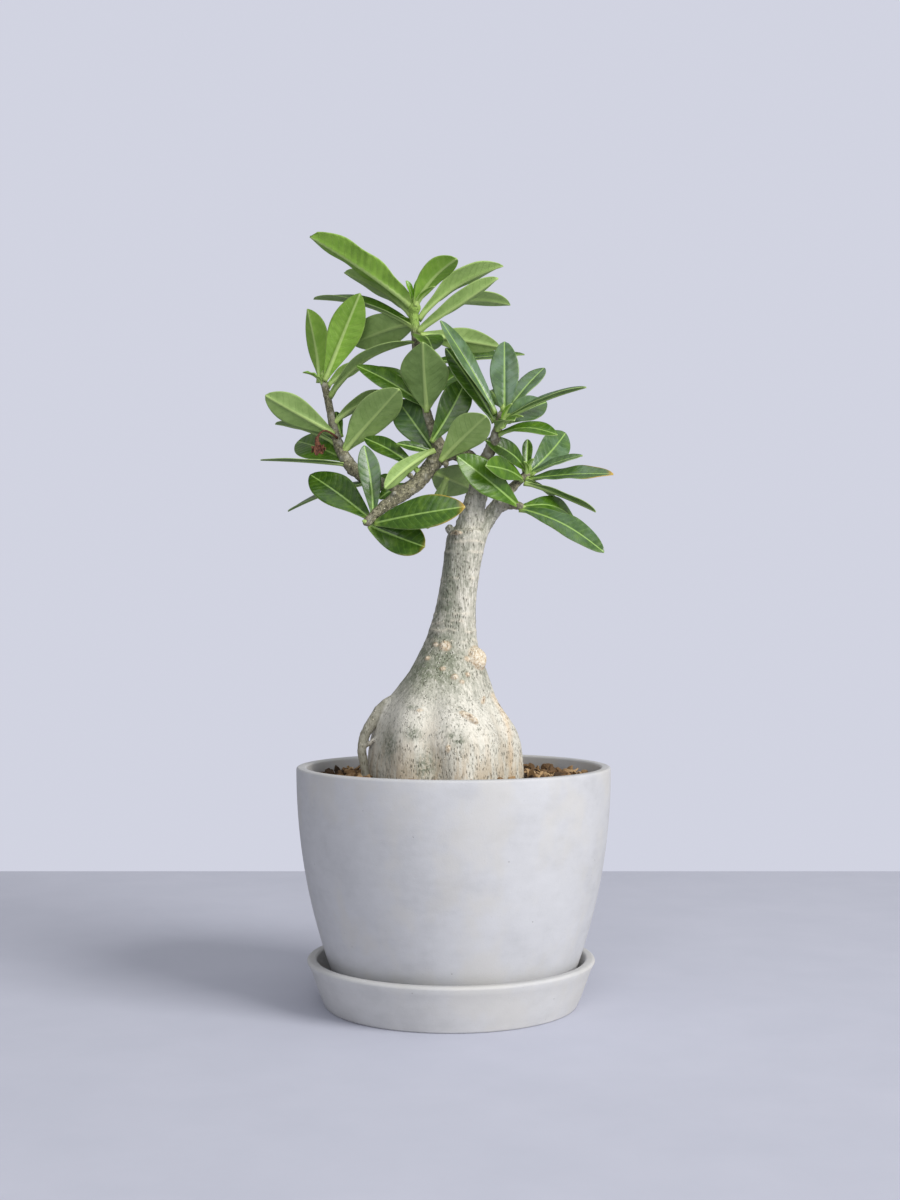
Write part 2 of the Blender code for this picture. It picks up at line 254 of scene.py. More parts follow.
def cast_shell(name, tint):
    """Stone powder in resin: matt, clouded, with fine pale and dark grains and a few pinholes."""
    skin = Finish(name)
    cloud = skin.cloud(38, 4, 0.55)
    mottle = skin.cloud(7, 3, 0.6)
    grain = skin.cloud(0.9, 2, 0.7)
    smear = skin.cloud(9, 3, 0.6, skin.stretched((0.6, 0.6, 1.6)))
    pinholes = skin.cells(11).step(0.05, 0.02)
    warm = skin.cloud(30, 3, 0.6, skin.stretched((1, 1, 0.7))).step(0.46, 0.66)
    colour = skin.layers(
        skin.ramp(
            cloud * 0.5 + mottle * 0.2 + smear * 0.3,
            (0.34, [c * 0.89 for c in tint]), (0.50, tint), (0.66, [c * 1.07 for c in tint]),
        ),
        (warm * 0.45, (0.53, 0.515, 0.485)),
        (grain.step(0.66, 0.80) * 0.35, (0.78, 0.77, 0.74)),
        (grain.step(0.36, 0.24) * 0.30, (0.30, 0.29, 0.27)),
        (pinholes * 0.55, (0.16, 0.15, 0.14)),
    )
    relief = grain * 0.45 + mottle * 0.35 + smear * 0.3 - pinholes * 0.8
    return skin.paint(
        relief, 0.16, Base_Color=colour, Roughness=0.62 + 0.16 * mottle, Specular_IOR_Level=0.38
    )


low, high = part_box("saucer")
saucer_middle = ((low.x + high.x) / 2, (low.y + high.y) / 2)
saucer_rim = (high.x - low.x) / 2 / MM
saucer_height = high.z / MM
rim_inside = saucer_rim - SAUCER_WALL
floor_inside = rim_inside - (saucer_rim - SAUCER_FOOT) * (1 - SAUCER_FLOOR / saucer_height)
lip_height = saucer_height - SAUCER_LIP
saucer_outline = [(SAUCER_FOOT - 6, FOOT_HOLLOW), (SAUCER_FOOT - 4, 0.0)]
saucer_outline += arc(SAUCER_FOOT - SAUCER_HEEL, SAUCER_HEEL, SAUCER_HEEL, -90, -8)
saucer_outline += [
    (SAUCER_FOOT + (saucer_rim - SAUCER_FOOT) * share, saucer_height * share)
    for share in (0.2, 0.4, 0.6, 0.8)
]
saucer_outline += arc(saucer_rim - SAUCER_LIP, lip_height, SAUCER_LIP, -5, 90)
saucer_outline += arc(rim_inside + SAUCER_LIP, lip_height, SAUCER_LIP, 90, 180)
saucer_outline += [(floor_inside + 2.5, SAUCER_FLOOR + 5), (floor_inside, SAUCER_FLOOR + 1.4)]
saucer_outline += [(floor_inside - 3, SAUCER_FLOOR), (40, SAUCER_FLOOR)]
saucer = turned("saucer_shell", saucer_outline, saucer_middle)
saucer.data.materials.append(cast_shell("cast_stone_saucer", (0.520, 0.520, 0.525)))
belongs(saucer, "moulded_shell", "saucer")


# ----------------------------------------------------------
# Pot
# A round planter of the same cast material. Its wall flares out quickly above the foot and then
# rises almost straight to a flat, slightly rounded rim. Its foot has a ring and one drain hole.

POT_FOOT = 72.0
POT_SWELL = 2.1
POT_WALL = 6.5
POT_FLOOR = 8.0
POT_EDGE = 1.6        # how far the rim's two edges are rounded
POT_HEEL = 1.5        # how far the foot's edge is rounded
POT_HOLLOW = 3.0      # how far the underside is lifted inside its ring
DRAIN = 7.0           # radius of the drain hole
WALL_STEPS = 22

low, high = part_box("pot")
pot_foot_z = low.z / MM
pot_height = (high.z - low.z) / MM
pot_rim = (high.x - low.x) / 2 / MM


def pot_outside(height):
    """The wall's outer radius, at a height above the pot's own foot."""
    return POT_FOOT + (pot_rim - POT_FOOT) * (1 - (1 - height / pot_height) ** POT_SWELL)


wall_steps = [pot_height * (i / WALL_STEPS) ** 1.15 for i in range(1, WALL_STEPS)]
below_rim = pot_height - POT_EDGE
pot_outline = [(DRAIN, POT_FLOOR), (DRAIN, POT_HOLLOW), (60, POT_HOLLOW), (63, 1.2), (63.8, 0.0)]
pot_outline += arc(POT_FOOT - POT_HEEL, POT_HEEL, POT_HEEL, -90, -15)
pot_outline += [(pot_outside(h), h) for h in wall_steps if 2 < h < below_rim - 1]
pot_outline += arc(pot_rim - POT_EDGE, below_rim, POT_EDGE, 0, 90)
pot_outline += arc(pot_rim - POT_WALL + POT_EDGE, below_rim, POT_EDGE, 90, 180)
pot_outline += [
    (pot_outside(h) - POT_WALL, h)
    for h in reversed(wall_steps) if POT_FLOOR + 4 < h < below_rim - 1
]
pot_outline += [(pot_outside(POT_FLOOR) - POT_WALL - 4, POT_FLOOR), (DRAIN, POT_FLOOR)]
pot = turned("pot_shell", [(r, z + pot_foot_z) for r, z in pot_outline], filled=False)
pot.data.materials.append(cast_shell("cast_stone_pot", (0.500, 0.505, 0.528)))
belongs(pot, "moulded_shell", "pot")


# ----------------------------------------------------------
# Caudex, trunk and branches
# One living body of wood: a swollen, lobed water-storing base, a neck, and forking branches. Its
# skin is a thin grey bark with dark pores along the grain, knobs, rings and old pruning scars.

BARK_GRID = 0.90   # mm, how finely the bark is meshed

wood_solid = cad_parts["caudex_and_branches"]
wood = bpy.data.objects.new("wood_and_bark", wood_solid.data.copy())
bpy.context.scene.collection.objects.link(wood)
wood.data.materials.clear()
only(wood)
bpy.ops.mesh.customdata_custom_splitnormals_clear()
bpy.ops.object.mode_set(mode="EDIT")
bpy.ops.mesh.select_all(action="SELECT")
bpy.ops.mesh.remove_doubles(threshold=0.00002)
bpy.ops.mesh.tris_convert_to_quads(
    face_threshold=math.radians(35), shape_threshold=math.radians(60)
)
bpy.ops.object.mode_set(mode="OBJECT")


def on_skin(x, z, from_behind=False):
    """The bark's point and outward normal straight in front of, or behind, (x, z) in mm."""
    way = -1 if from_behind else 1
    hit, point, normal, _ = wood.ray_cast((x * MM, -0.3 * way, z * MM), (0, way, 0))
    return (point, normal) if hit else (Vector((x * MM, 0, z * MM)), Vector((0, -way, 0)))


def lump(point, normal, sizes, roll=0.0):
    """A squashed ball that sits in the bark, by its half width, half height and rise in mm."""
    turn = normal.to_track_quat("Z", "Y").to_matrix().to_4x4()
    spin = Euler((0, 0, math.radians(roll))).to_matrix().to_4x4()
    only()
    bpy.ops.mesh.primitive_uv_sphere_add(
        segments=20, ring_count=12, radius=1, location=point,
        rotation=(turn @ spin).to_euler(), scale=[s * MM for s in sizes],
    )
    return bpy.context.object


# Knobs and scars that face the front: x, z, half width, half height and rise in mm, and the
# roll in degrees.
FRONT_LUMPS = [
    (14.6, 220.5, 7.2, 7.6, 4.4, -14),    # the big pruning scar on the right
    (-3.8, 228, 3, 3, 1.9, 0),      # ring-shaped bud scar
    (-15, 220.5, 1.3, 1.3, 1.4, 0),
    (8.4, 220, 1.6, 1.5, 1.4, 0),
    (-6.3, 214, 1.4, 1.2, 1.3, 0),
    (0.8, 209, 1.9, 1.7, 1.6, 0),
    (8.6, 210.5, 1.4, 1.3, 1.3, 0),
    (5.4, 206, 1.2, 1.1, 0.9, 0),
    (-9, 229, 1.6, 1.1, 1, 0),
    (11, 184.5, 7, 2.3, 2, -33),    # a healed split with a raised lip
    (19.5, 194, 4, 1.5, 1.5, 35),     # a curled flake of bark
    (-2.5, 166, 1.2, 2, 0.9, 0),
    (-21, 188.5, 1.8, 0.8, 0.6, 0),
    (2, 300, 5, 1.5, 0.9, 4),       # the collar under the fork
]
# The same on the back of the wood.
BACK_LUMPS = [
    (-10, 224, 3, 3.4, 2, 0), (6, 215, 1.7, 1.5, 1.4, 0),
    (-2, 208, 1.5, 1.4, 1.3, 0), (-18, 200, 1.6, 1.4, 1.2, 0),
    (12, 196, 2.6, 1.1, 1, 20), (4, 262, 1.6, 1.3, 1, 0),
    (10, 285, 1.8, 1.5, 1, 0), (-26, 178, 4.2, 1.3, 1.1, -25),
    (5, 170, 1.4, 2.3, 1, 0),
]
NARROW = 2.4    # mm, below which half of a scar is a split and not a round cut
lumps = []
scars = []
for rows, behind in ((FRONT_LUMPS, False), (BACK_LUMPS, True)):
    for x, z, wide, tall, rise, roll in rows:
        point, normal = on_skin(x, z, behind)
        made = lump(point, normal, (wide, tall, rise), roll)
        lumps.append(made)
        seat = made.matrix_basis @ Matrix.Diagonal((wide * MM, tall * MM, rise * MM, 1))
        is_split = min(wide, tall) < NARROW < max(wide, tall)
        scars.append((seat.inverted(), max(wide, tall), is_split))

# A thin rootlet that crosses from the surface root to the caudex, and the stubs and twig ends on
# the old limbs: x, y, z and radius in mm.
rootlet = [(-56.5, -12, 164), (-53, -12, 167), (-48, -11, 170.5), (-43, -9, 172)]
stubs = [
    (-25, -1, 444.5, 3), (-84.8, 20, 402.5, 2.4), (29.8, -23.5, 372.5, 2.6),
    (47, 6.5, 338, 2.8), (42.5, -6, 317, 2.5), (-53, -27.5, 305.8, 2.7),
    (-5, -15, 343, 2.2), (-14, -17, 345, 1.8), (-27, -21, 335, 1.9),
    (-37, -25, 324, 1.7), (4, -12, 345, 1.8), (11, -7, 322, 2),
    (33, 2, 324, 2), (29, -2, 320, 1.8), (-2, -3, 303, 2.6),
    (-57, -8, 336, 1.9), (-71, 3, 352, 1.8), (-76, 10, 366, 1.6),
    (-80, 15, 381, 1.5), (24, 2, 311, 1.8), (-9, -9, 357, 1.9),
    (-16, -6, 374, 1.6), (17, -5, 337, 2.1), (24, -14, 355, 1.5),
]
for x, y, z, radius in stubs:
    lumps.append(lump(Vector((x, y, z)) * MM, Vector((0, 0, 1)), (radius, radius, radius)))


def tube(name, route, radii):
    """A tapering round stem along a route in mm: a bevelled curve made a mesh."""
    points = [Vector(p) * MM for p in route]
    curve = bpy.data.curves.new(name, "CURVE")
    curve.dimensions = "3D"
    curve.bevel_depth = MM
    curve.bevel_resolution = 3
    curve.resolution_u = 6
    curve.use_fill_caps = True
    line = curve.splines.new("NURBS")
    line.points.add(len(points) - 1)
    line.use_endpoint_u = True
    line.order_u = 3
    for knot, point, thickness in zip(line.points, points, radii):
        knot.co = (*point, 1)
        knot.radius = thickness
    made = bpy.data.objects.new(name, curve)
    bpy.context.scene.collection.objects.link(made)
    only(made)
    bpy.ops.object.convert(target="MESH")
    made = bpy.context.object
    face_outwards(made)
    return made


lumps.append(tube("rootlet", rootlet, (0.8, 0.9, 0.9, 1.3)))


def finish_modifiers(made, *steps):
    """Adds each modifier, with its settings, and applies it."""
    for kind, settings in steps:
        only(made)
        added = made.modifiers.new(kind.lower(), kind)
        for name, value in settings.items():
            setattr(added, name, value)
        bpy.ops.object.modifier_apply(modifier=added.name)


finish_modifiers(wood, ("SUBSURF", {"levels": 1, "render_levels": 1}))
only(wood, *lumps)
bpy.ops.object.join()
finish_modifiers(wood, ("REMESH", {"mode": "VOXEL", "voxel_size": BARK_GRID * MM}))


def vertex_rows(made, what):
    flat = np.empty(len(made.data.vertices) * 3)
    made.data.vertices.foreach_get(what, flat)
    return flat.reshape(-1, 3)


def points_of(made):
    return vertex_rows(made, "co")


def set_points(made, places):
    made.data.vertices.foreach_set("co", np.asarray(places, float).ravel())
    made.data.update()


def attach(made, name, values):
    """A number for each vertex, which the piece's material reads by name."""
    added = made.data.attributes.new(name, "FLOAT", "POINT")
    added.data.foreach_set("value", np.asarray(values, np.float32))


def smooth_where(made, chosen, repeat):
    """Evens out the vertices that are chosen, by True or False for each."""
    only(made)
    bpy.ops.object.mode_set(mode="EDIT")
    bpy.ops.mesh.select_all(action="DESELECT")
    bpy.ops.object.mode_set(mode="OBJECT")
    made.data.vertices.foreach_set("select", chosen)
    bpy.ops.object.mode_set(mode="EDIT")
    bpy.ops.mesh.select_mode(type="VERT")
    bpy.ops.mesh.vertices_smooth(factor=0.5, repeat=repeat)
    bpy.ops.object.mode_set(mode="OBJECT")


def rough(places, size, octaves=3, seed=0.0):
    """Fractal noise of about -1 to 1 at each place, with blots of that size in mm."""
    return np.array([
        noise.fractal((Vector(p) / (size * MM)) + Vector((seed, seed, seed)), 0.6, 2.0, octaves,
                      noise_basis="PERLIN_ORIGINAL")
        for p in places
    ])


def fade(values, start, end):
    """0 at start and 1 at end, straight between them and level beyond."""
    return np.clip((values - start) / (end - start), 0, 1)


def hump(away, wide):
    """1 in the middle, and a smooth fall to nothing over about that width."""
    return np.exp(-((away / wide) ** 2))


def within(places, inverse):
    """How far out each place is in a lump's own measure: 1 on its surface, less inside."""
    turned_in = places @ np.array(inverse.to_3x3()).T + np.array(inverse.translation)
    return np.linalg.norm(turned_in * (1, 1, 0.35), axis=1)


places = points_of(wood)
scar_measures = [(within(places, inverse), reach, narrow) for inverse, reach, narrow in scars]
near_scar = np.zeros(len(places), bool)
for far, reach, narrow in scar_measures:
    near_scar |= far < 1 + 1.0 / reach
near_root = (places[:, 0] < -0.049) & (places[:, 1] < -0.004)
limbs_and_root = (places[:, 2] > 0.292) | (places[:, 0] < -0.04)
plain_skin = (places[:, 2] <= 0.296) & ~near_scar & ~near_root
smooth_where(wood, limbs_and_root, 3)
smooth_where(wood, plain_skin, 40)
smooth_where(wood, np.ones(len(places), bool), 2)

# The trunk leans and the caudex swells unevenly: sideways moves in mm at these heights.
LEAN_HEIGHTS = (150, 158, 170, 180, 188, 196, 203, 212, 224, 240, 255, 287, 300, 312)
LEAN_LEFT = (0, 0, 0, 0, 0, -0.3, -0.6, -0.5, -2.3, -3.3, -2.4, -1.7, -1.0, 0)
LEAN_RIGHT = (-2.8, -2.8, -3.0, -3.0, -1.8, -1.2, -0.2, 0.4, 0.6, -1.0, -1.8, -1.6, -1.0, 0)
places = points_of(wood)
height = places[:, 2] / MM
middle_line = np.interp(height, (150, 200, 240, 312), (-5, -5, 2, 8))
half_girth = np.interp(height, (150, 200, 230, 312), (40, 24, 13, 11))
on_right = np.clip(((places[:, 0] / MM - middle_line) / half_girth + 1) / 2, 0, 1)
lean = (1 - on_right) * np.interp(height, LEAN_HEIGHTS, LEAN_LEFT)
lean += on_right ** 2 * np.interp(height, LEAN_HEIGHTS, LEAN_RIGHT)
places[:, 0] += lean * MM * (places[:, 0] > -0.06)
set_points(wood, places)

# The lobes of the caudex: each furrow's direction in degrees, width, and depth in mm.
FURROWS = [
    (-97, 10, 3.0), (-30, 7, 3.0), (-138, 11, 1.3), (-66, 9, 0.9), (12, 13, 2.0), (62, 15, 2.4),
    (112, 12, 1.8), (160, 13, 2.2),
]
# The middle of the surface root, in mm.
ROOT_WAY = [
    (-38, -6, 194), (-44, -7, 191), (-51, -8, 181), (-57, -10, 170), (-58, -12, 161),
    (-56.5, -13, 153), (-54, -13, 136),
]


def beside(places, way):
    """How far each place is from a bent line through the given points, in mm."""
    nearest = np.full(len(places), 1e9)
    for start, end in zip(way, way[1:]):
        start, end = np.array(start, float), np.array(end, float)
        run = end - start
        share = np.clip((places / MM - start) @ run / np.dot(run, run), 0, 1)
        gap = places / MM - start - share[:, None] * run
        nearest = np.minimum(nearest, np.linalg.norm(gap, axis=1))
    return nearest


# Heights on the plant, in mm above the table.
CAUDEX_TOP, NECK_TOP, FORK, TWIGS = 206, 225, 292, 405

places = points_of(wood)
outward = vertex_rows(wood, "normal")
height = places[:, 2] / MM
direction = np.degrees(np.arctan2(places[:, 1], places[:, 0] + 0.005))
direction += 5 * np.sin((height - 150) / 19) + 3 * rough(places * (0.3, 0.3, 1), 20, 2)
low_down = fade(height, CAUDEX_TOP, CAUDEX_TOP - 30)
low_down = low_down * low_down * (3 - 2 * low_down)
relief = np.zeros(len(places))
for middle, width, depth in FURROWS:
    away = (direction - middle + 180) % 360 - 180
    relief += depth * (0.35 * hump(away, 2.1 * width) - hump(away, width))
relief = (relief + 0.5) * low_down
# Bark roughness: fibres along the caudex, knuckles and old leaf scars on the limbs.
limb = fade(height, FORK, FORK + 14)
root = fade(beside(places, ROOT_WAY), 5.2, 3.6) * fade(places[:, 0] / MM, -41, -45)
relief += 0.10 * rough(places, 5.0) + 0.10 * limb + 0.06
relief += 1.1 * fade(height, TWIGS, TWIGS + 12) * (places[:, 0] > -0.05)
fibre = rough(places * (1, 1, 0.16), 2.6, seed=3)
relief += 0.20 * fibre * np.clip((NECK_TOP - height) / 70, 0.3, 1.0) * (1 - limb)
relief += (0.62 * rough(places, 3.4, seed=7) + 0.25) * limb * np.where(height > 360, 0.35, 1.0)
relief += 0.35 * rough(places * (1, 1, 0.4), 3.0, seed=9) * root

# Ring marks round the trunk, where old leaves sat: their heights and how far they stand up, in mm.
RINGS = (
    (271, 0.40), (258.5, 0.26), (248.5, 0.42), (244, 0.30), (238, 0.45), (231, 0.34),
    (288, 0.20), (294.5, 0.20),
)
rings = np.zeros(len(places))
for ring_height, ring_rise in RINGS:
    wander = 1.3 * rough(places, 14.0, 2, seed=ring_height)
    broken = np.clip(2 * rough(places, 7.0, 2, seed=ring_height + 50) + 0.55, 0, 1)
    ring = hump(height - ring_height - wander, 0.9) * broken
    relief += ring_rise * ring
    rings = np.maximum(rings, ring)
# Each scar has a raised rim round a sunken, ringed middle; a split has a crack along it.
scarred, rims, hearts = (np.zeros(len(places)) for _ in range(3))
for far, reach, narrow in scar_measures:
    scarred = np.maximum(scarred, fade(far, 1.12, 0.92))
    rims = np.maximum(rims, hump((far - 1.0) * reach, 0.8))
    if reach > NARROW:
        relief -= (1.5 if narrow else 0.9) * fade(far, 0.7, 0)
        hearts = np.maximum(hearts, narrow * fade(far, 0.62, 0.42))
        relief += 0.22 * np.cos(far * reach * 2.4) * (far < 0.8)
set_points(wood, places + outward * (relief * MM)[:, None])

# Green-black stains: x, z, half width and half height in mm.
STAINS = (
    (-26, 190, 3.5, 1.5), (-25.3, 174.3, 5.5, 4), (3.1, 170.3, 5, 4.5), (-1.6, 173, 3, 2.5),
    (-17.4, 154, 7, 9), (-40, 167, 5, 10), (-3.5, 262, 5, 26), (-6, 232, 9, 5),
)
places = points_of(wood)
x_mm = places[:, 0] / MM
front = (places[:, 1] < 0).astype(float)
stained = np.zeros(len(places))
for x, z, wide, tall in STAINS:
    spot = hump(x_mm - x, wide) * hump(height - z, tall)
    stained = np.maximum(stained, spot * (0.6 + 0.4 * front))
across_lobe = x_mm - np.interp(height, (148, 170, 183, 198), (36.5, 35.5, 33.0, 24.5))
stripe = hump(across_lobe, 1.8) * fade(height, 199, 196) * front
shoot = np.maximum(
    fade(height, 426, 434) * (x_mm < 0), fade(height, 398, 404) * (x_mm < -60)
)
far_out = fade(np.abs(x_mm - 3), 25, 33) * (height > 290)
for name, values in {
    "scar": scarred, "rim": np.clip(rims, 0, 1), "heart": hearts, "shade": stained,
    "stripe": stripe, "split": stripe * fade(height, 177, 181),
    "green": hump(height - 213, 14) * fade(x_mm, 16, -4), "shoot": shoot,
    "limb": fade(height + 14 * (x_mm < 0) + 26 * far_out, 318, 344), "root": root,
    # weathered: painted shade on the left of the trunk and limbs above the caudex, the side away
    # from the key light
    "weathered": fade(x_mm, 14, -20) * fade(height, 205, 225), "foot": fade(height, 180, 146),
    "ring": rings, "bulb": fade(height, 212, 188), "furrow": fade(relief, 0, -2.2) * low_down,
}.items():
    attach(wood, name, values)

bark = Finish("grey_green_bark")
grain_way = bark.stretched((1, 1, 0.2))
patches, blots = bark.cloud(15, 4, 0.62), bark.cloud(8, 4, 0.62)
fine = bark.cloud(1.9, 4, 0.7)
streaks = bark.cloud(1.3, 4, 0.7, grain_way)
wide_streaks = bark.cloud(4.5, 3, 0.6, grain_way)
bulb, foot, split = bark.attribute("bulb"), bark.attribute("foot"), bark.attribute("split")
weathered, limb_mask = bark.attribute("weathered"), bark.attribute("limb")
pores = bark.cells(1.05, bark.stretched((1, 1, 0.30))).step(0.40, 0.12)
pores = pores * (blots + weathered * 0.10 + foot * 0.12).step(0.44, 0.58)
freckles = bark.cells(3.4).step(0.17, 0.09) * bark.cloud(12, 2).step(0.42, 0.56)
moss = bark.cells(2.4).step(0.55, 0.1) * bark.cloud(11, 4, 0.7).step(0.53, 0.66)
holes = bark.cells(3.2, bark.stretched((1, 1, 0.5))).step(0.30, 0.16) * split
stains = bark.attribute("shade") * (0.35 + 1.1 * fine.step(0.40, 0.58))
old_limb = bark.ramp(
    bark.cloud(2.0, 4, 0.75), (0.34, (0.042, 0.038, 0.020)), (0.46, (0.135, 0.124, 0.070)),
    (0.56, (0.250, 0.232, 0.142)), (0.68, (0.46, 0.42, 0.29)),
)
tan = bark.ramp(
    bark.cloud(1.5, 3, 0.7), (0.36, (0.43, 0.31, 0.19)), (0.48, (0.68, 0.58, 0.43)),
    (0.62, (0.80, 0.74, 0.63)),
)
colour = bark.layers(
    bark.ramp(
        patches * 0.45 + fine * 0.25 + wide_streaks * 0.3,
        (0.36, (0.17, 0.175, 0.135)), (0.45, (0.34, 0.34, 0.275)), (0.54, (0.52, 0.50, 0.425)),
        (0.64, (0.72, 0.69, 0.61)),
    ),
    (bulb * 0.62, (0.76, 0.735, 0.66)),
    # Painted shade: dark blotches on the left of the trunk and limbs, standing in for the side away
    # from the key light
    (weathered * (blots * 0.7 + streaks * 0.3).step(0.38, 0.56) * 0.85, (0.13, 0.14, 0.10)),
    (bark.attribute("green") * (0.45 + 0.5 * blots.step(0.35, 0.6)), (0.22, 0.245, 0.165)),
    (streaks.step(0.53, 0.64) * 0.48, (0.82, 0.79, 0.71)),
    (streaks.step(0.47, 0.37) * (0.60 - 0.22 * bulb), (0.13, 0.13, 0.095)),
    (foot * wide_streaks.step(0.40, 0.60) * 0.62, (0.42, 0.315, 0.19)),
    (bark.attribute("ring") * fine.step(0.3, 0.5) * 0.65, (0.76, 0.69, 0.57)),
    (bark.attribute("furrow") * streaks.step(0.3, 0.6) * 0.65, (0.30, 0.235, 0.15)),
    ((stains * 0.66).clamped(), (0.135, 0.155, 0.105)),
    (moss * (1 - limb_mask) * 0.75, (0.105, 0.115, 0.075)),
    (pores * (0.8 - 0.25 * bulb), (0.085, 0.075, 0.048)),
    (limb_mask * bark.cloud(8, 3).step(0.26, 0.46) * 0.9, old_limb),
    (bark.attribute("root") * (0.15 + 0.9 * fine), (0.155, 0.145, 0.085)),
    (freckles * 0.85, (0.78, 0.72, 0.58)),
    (bark.attribute("stripe") * wide_streaks.step(0.30, 0.55) * 0.55, (0.60, 0.45, 0.29)),
    ((split * 1.6).clamped() * 0.9, tan),
    (bark.attribute("scar") * 0.9, tan),
    (bark.attribute("rim") * fine.step(0.35, 0.6) * 0.55, (0.36, 0.23, 0.12)),
    (bark.attribute("heart") * 0.8, (0.15, 0.085, 0.05)),
    (holes.clamped() * 0.95, (0.045, 0.025, 0.015)),
    (bark.attribute("shoot"), (0.30, 0.46, 0.09)),
)
raised = (
    fine * 0.35 + streaks * 0.55 - pores * 0.7 + freckles * 0.5 - holes * 1.2 - moss * 0.2
    + limb_mask * bark.cloud(1.2, 4, 0.7) * 0.9
)
wood.data.materials.append(bark.paint(
    raised, 0.85, Base_Color=colour, Roughness=0.46 + 0.2 * fine, Specular_IOR_Level=0.45
))
only(wood)
bpy.ops.object.shade_smooth()
belongs(wood, "bark", "caudex_and_branches")


# ----------------------------------------------------------
# Potting mix
# Coarse bark chips over a dark, crumbly mix that fills the pot to about a centimetre below the
# rim. The chips lie loose and at all angles; some are fresh and tan and some old and nearly black.

mix_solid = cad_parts["potting_mix"]
crumbs = Finish("dark_crumbly_mix")
crumb = crumbs.cells(2.6)
fleck = crumbs.cloud(1.8, 4, 0.7)
colour = crumbs.ramp(fleck, (0.35, (0.018, 0.011, 0.007)), (0.55, (0.07, 0.042, 0.024)),
                     (0.72, (0.19, 0.12, 0.065)))
mix_solid.data.materials.clear()
mix_solid.data.materials.append(crumbs.paint(
    1 - crumb, 1.4, Base_Color=colour, Roughness=0.9 + 0.08 * fleck, Specular_IOR_Level=0.2
))

CHIP_KINDS = 7
# How many chips, how high their middles lie in mm, and how loosely they are tipped.
CHIP_LAYERS = ((430, 141.2, 0.0), (430, 143.2, 0.6), (300, 145.4, 1.0))
CHIP_INNER = 50.0     # mm, the clear place that the caudex takes up
CHIP_SIZES = (1.7, 3.7)
BIG_CHIPS = 0.12      # the share of chips that are bigger, and how much bigger
BIGGER = 1.4
SINKS_FROM = 80       # mm from the middle, where the mix starts to sink towards the wall
DARK_LEFT = -72       # mm, the edge of the old dark patch
chance = random.Random(11)


def chip_pattern(number):
    """A splinter of bark: a ball squashed flat, with its sides split off along the grain."""
    only()
    bpy.ops.mesh.primitive_ico_sphere_add(subdivisions=2, radius=1)
    made = bpy.context.object
    bpy.ops.object.mode_set(mode="EDIT")
    bpy.ops.transform.resize(
        value=(chance.uniform(1.2, 1.9), chance.uniform(0.7, 1.0), chance.uniform(0.35, 0.6))
    )
    for side in range(6):
        bpy.ops.mesh.select_all(action="SELECT")
        turn = chance.uniform(0, 2 * math.pi)
        tilt = chance.uniform(-0.5, 0.5)
        away = (math.cos(turn), math.sin(turn), tilt) if side < 4 else (tilt, 0.2, 1)
        away = Vector(away).normalized() * (1 if side < 5 else -1)
        reach = chance.uniform(0.62, 0.86) if side < 4 else chance.uniform(0.16, 0.3)
        bpy.ops.mesh.bisect(plane_co=away * reach, plane_no=away, use_fill=True, clear_outer=True)
    bpy.ops.object.mode_set(mode="OBJECT")
    made.name = f"chip_pattern_{number}"
    return made


patterns = [chip_pattern(i) for i in range(CHIP_KINDS)]
pattern_shapes = [(points_of(p), [tuple(f.vertices) for f in p.data.polygons]) for p in patterns]
chips = []
for count, level, loose in CHIP_LAYERS:
    for _ in range(count):
        angle = chance.uniform(0, 2 * math.pi)
        size = chance.uniform(*CHIP_SIZES) * (BIGGER if chance.random() < BIG_CHIPS else 1.0)
        outer = pot_rim - POT_WALL - 1.7 * size * 0.85
        reach = math.sqrt(chance.uniform(CHIP_INNER**2, outer**2))
        tip_over = 0.25 + 0.35 * loose
        turn = Euler((
            chance.gauss(0, tip_over), chance.gauss(0, tip_over), chance.uniform(0, 2 * math.pi)
        ))
        x, y = reach * math.cos(angle), reach * math.sin(angle)
        if math.hypot(x + 4, y) < CHIP_INNER:
            continue
        sink = 0.5 * max(0.0, (reach - SINKS_FROM) / 14)
        swell = 0.8 * noise.noise(Vector((x, y, 0)) / 22)
        z = level + chance.uniform(-0.7, 0.7) + swell - sink
        # Old dark mix shows at the far left, and fresh tan chips elsewhere.
        old = 0.55 if x < DARK_LEFT else 0.12
        tint = chance.uniform(0.0, 0.2) if chance.random() < old else chance.uniform(0.25, 1.0)
        chips.append((chance.randrange(CHIP_KINDS), Vector((x, y, z)), turn, size, tint))

corners, faces, tints = [], [], []
for kind, middle, turn, size, tint in chips:
    shape, sides = pattern_shapes[kind]
    placed = shape @ np.array(turn.to_matrix()).T * size * MM + np.array(middle) * MM
    start = len(corners)
    corners.extend(placed.tolist())
    faces.extend(tuple(start + v for v in side) for side in sides)
    tints.extend([tint] * len(placed))
only(*patterns)
bpy.ops.object.delete()
chip_mesh = bpy.data.meshes.new("bark_chips")
chip_mesh.from_pydata(corners, [], faces)
chip_pile = bpy.data.objects.new("bark_chips", chip_mesh)
bpy.context.scene.collection.objects.link(chip_pile)
attach(chip_pile, "tint", tints)
only(chip_pile)
bpy.ops.object.mode_set(mode="EDIT")
bpy.ops.mesh.select_all(action="SELECT")
bpy.ops.mesh.normals_make_consistent(inside=False)
bpy.ops.object.mode_set(mode="OBJECT")
bpy.ops.object.shade_smooth_by_angle(angle=math.radians(28))

chip_bark = Finish("bark_chip")
grain = chip_bark.cloud(1.1, 4, 0.65)
tint = chip_bark.attribute("tint")
colour = chip_bark.ramp(
    tint * 0.7 + grain * 0.3, (0.12, (0.022, 0.014, 0.009)), (0.30, (0.085, 0.050, 0.027)),
    (0.52, (0.215, 0.128, 0.062)), (0.74, (0.385, 0.252, 0.128)), (0.92, (0.55, 0.40, 0.235)),
)
chip_mesh.materials.append(chip_bark.paint(
    grain, 0.5, Base_Color=colour, Roughness=0.82 + 0.1 * grain, Specular_IOR_Level=0.25
))
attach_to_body(chip_pile, "root")


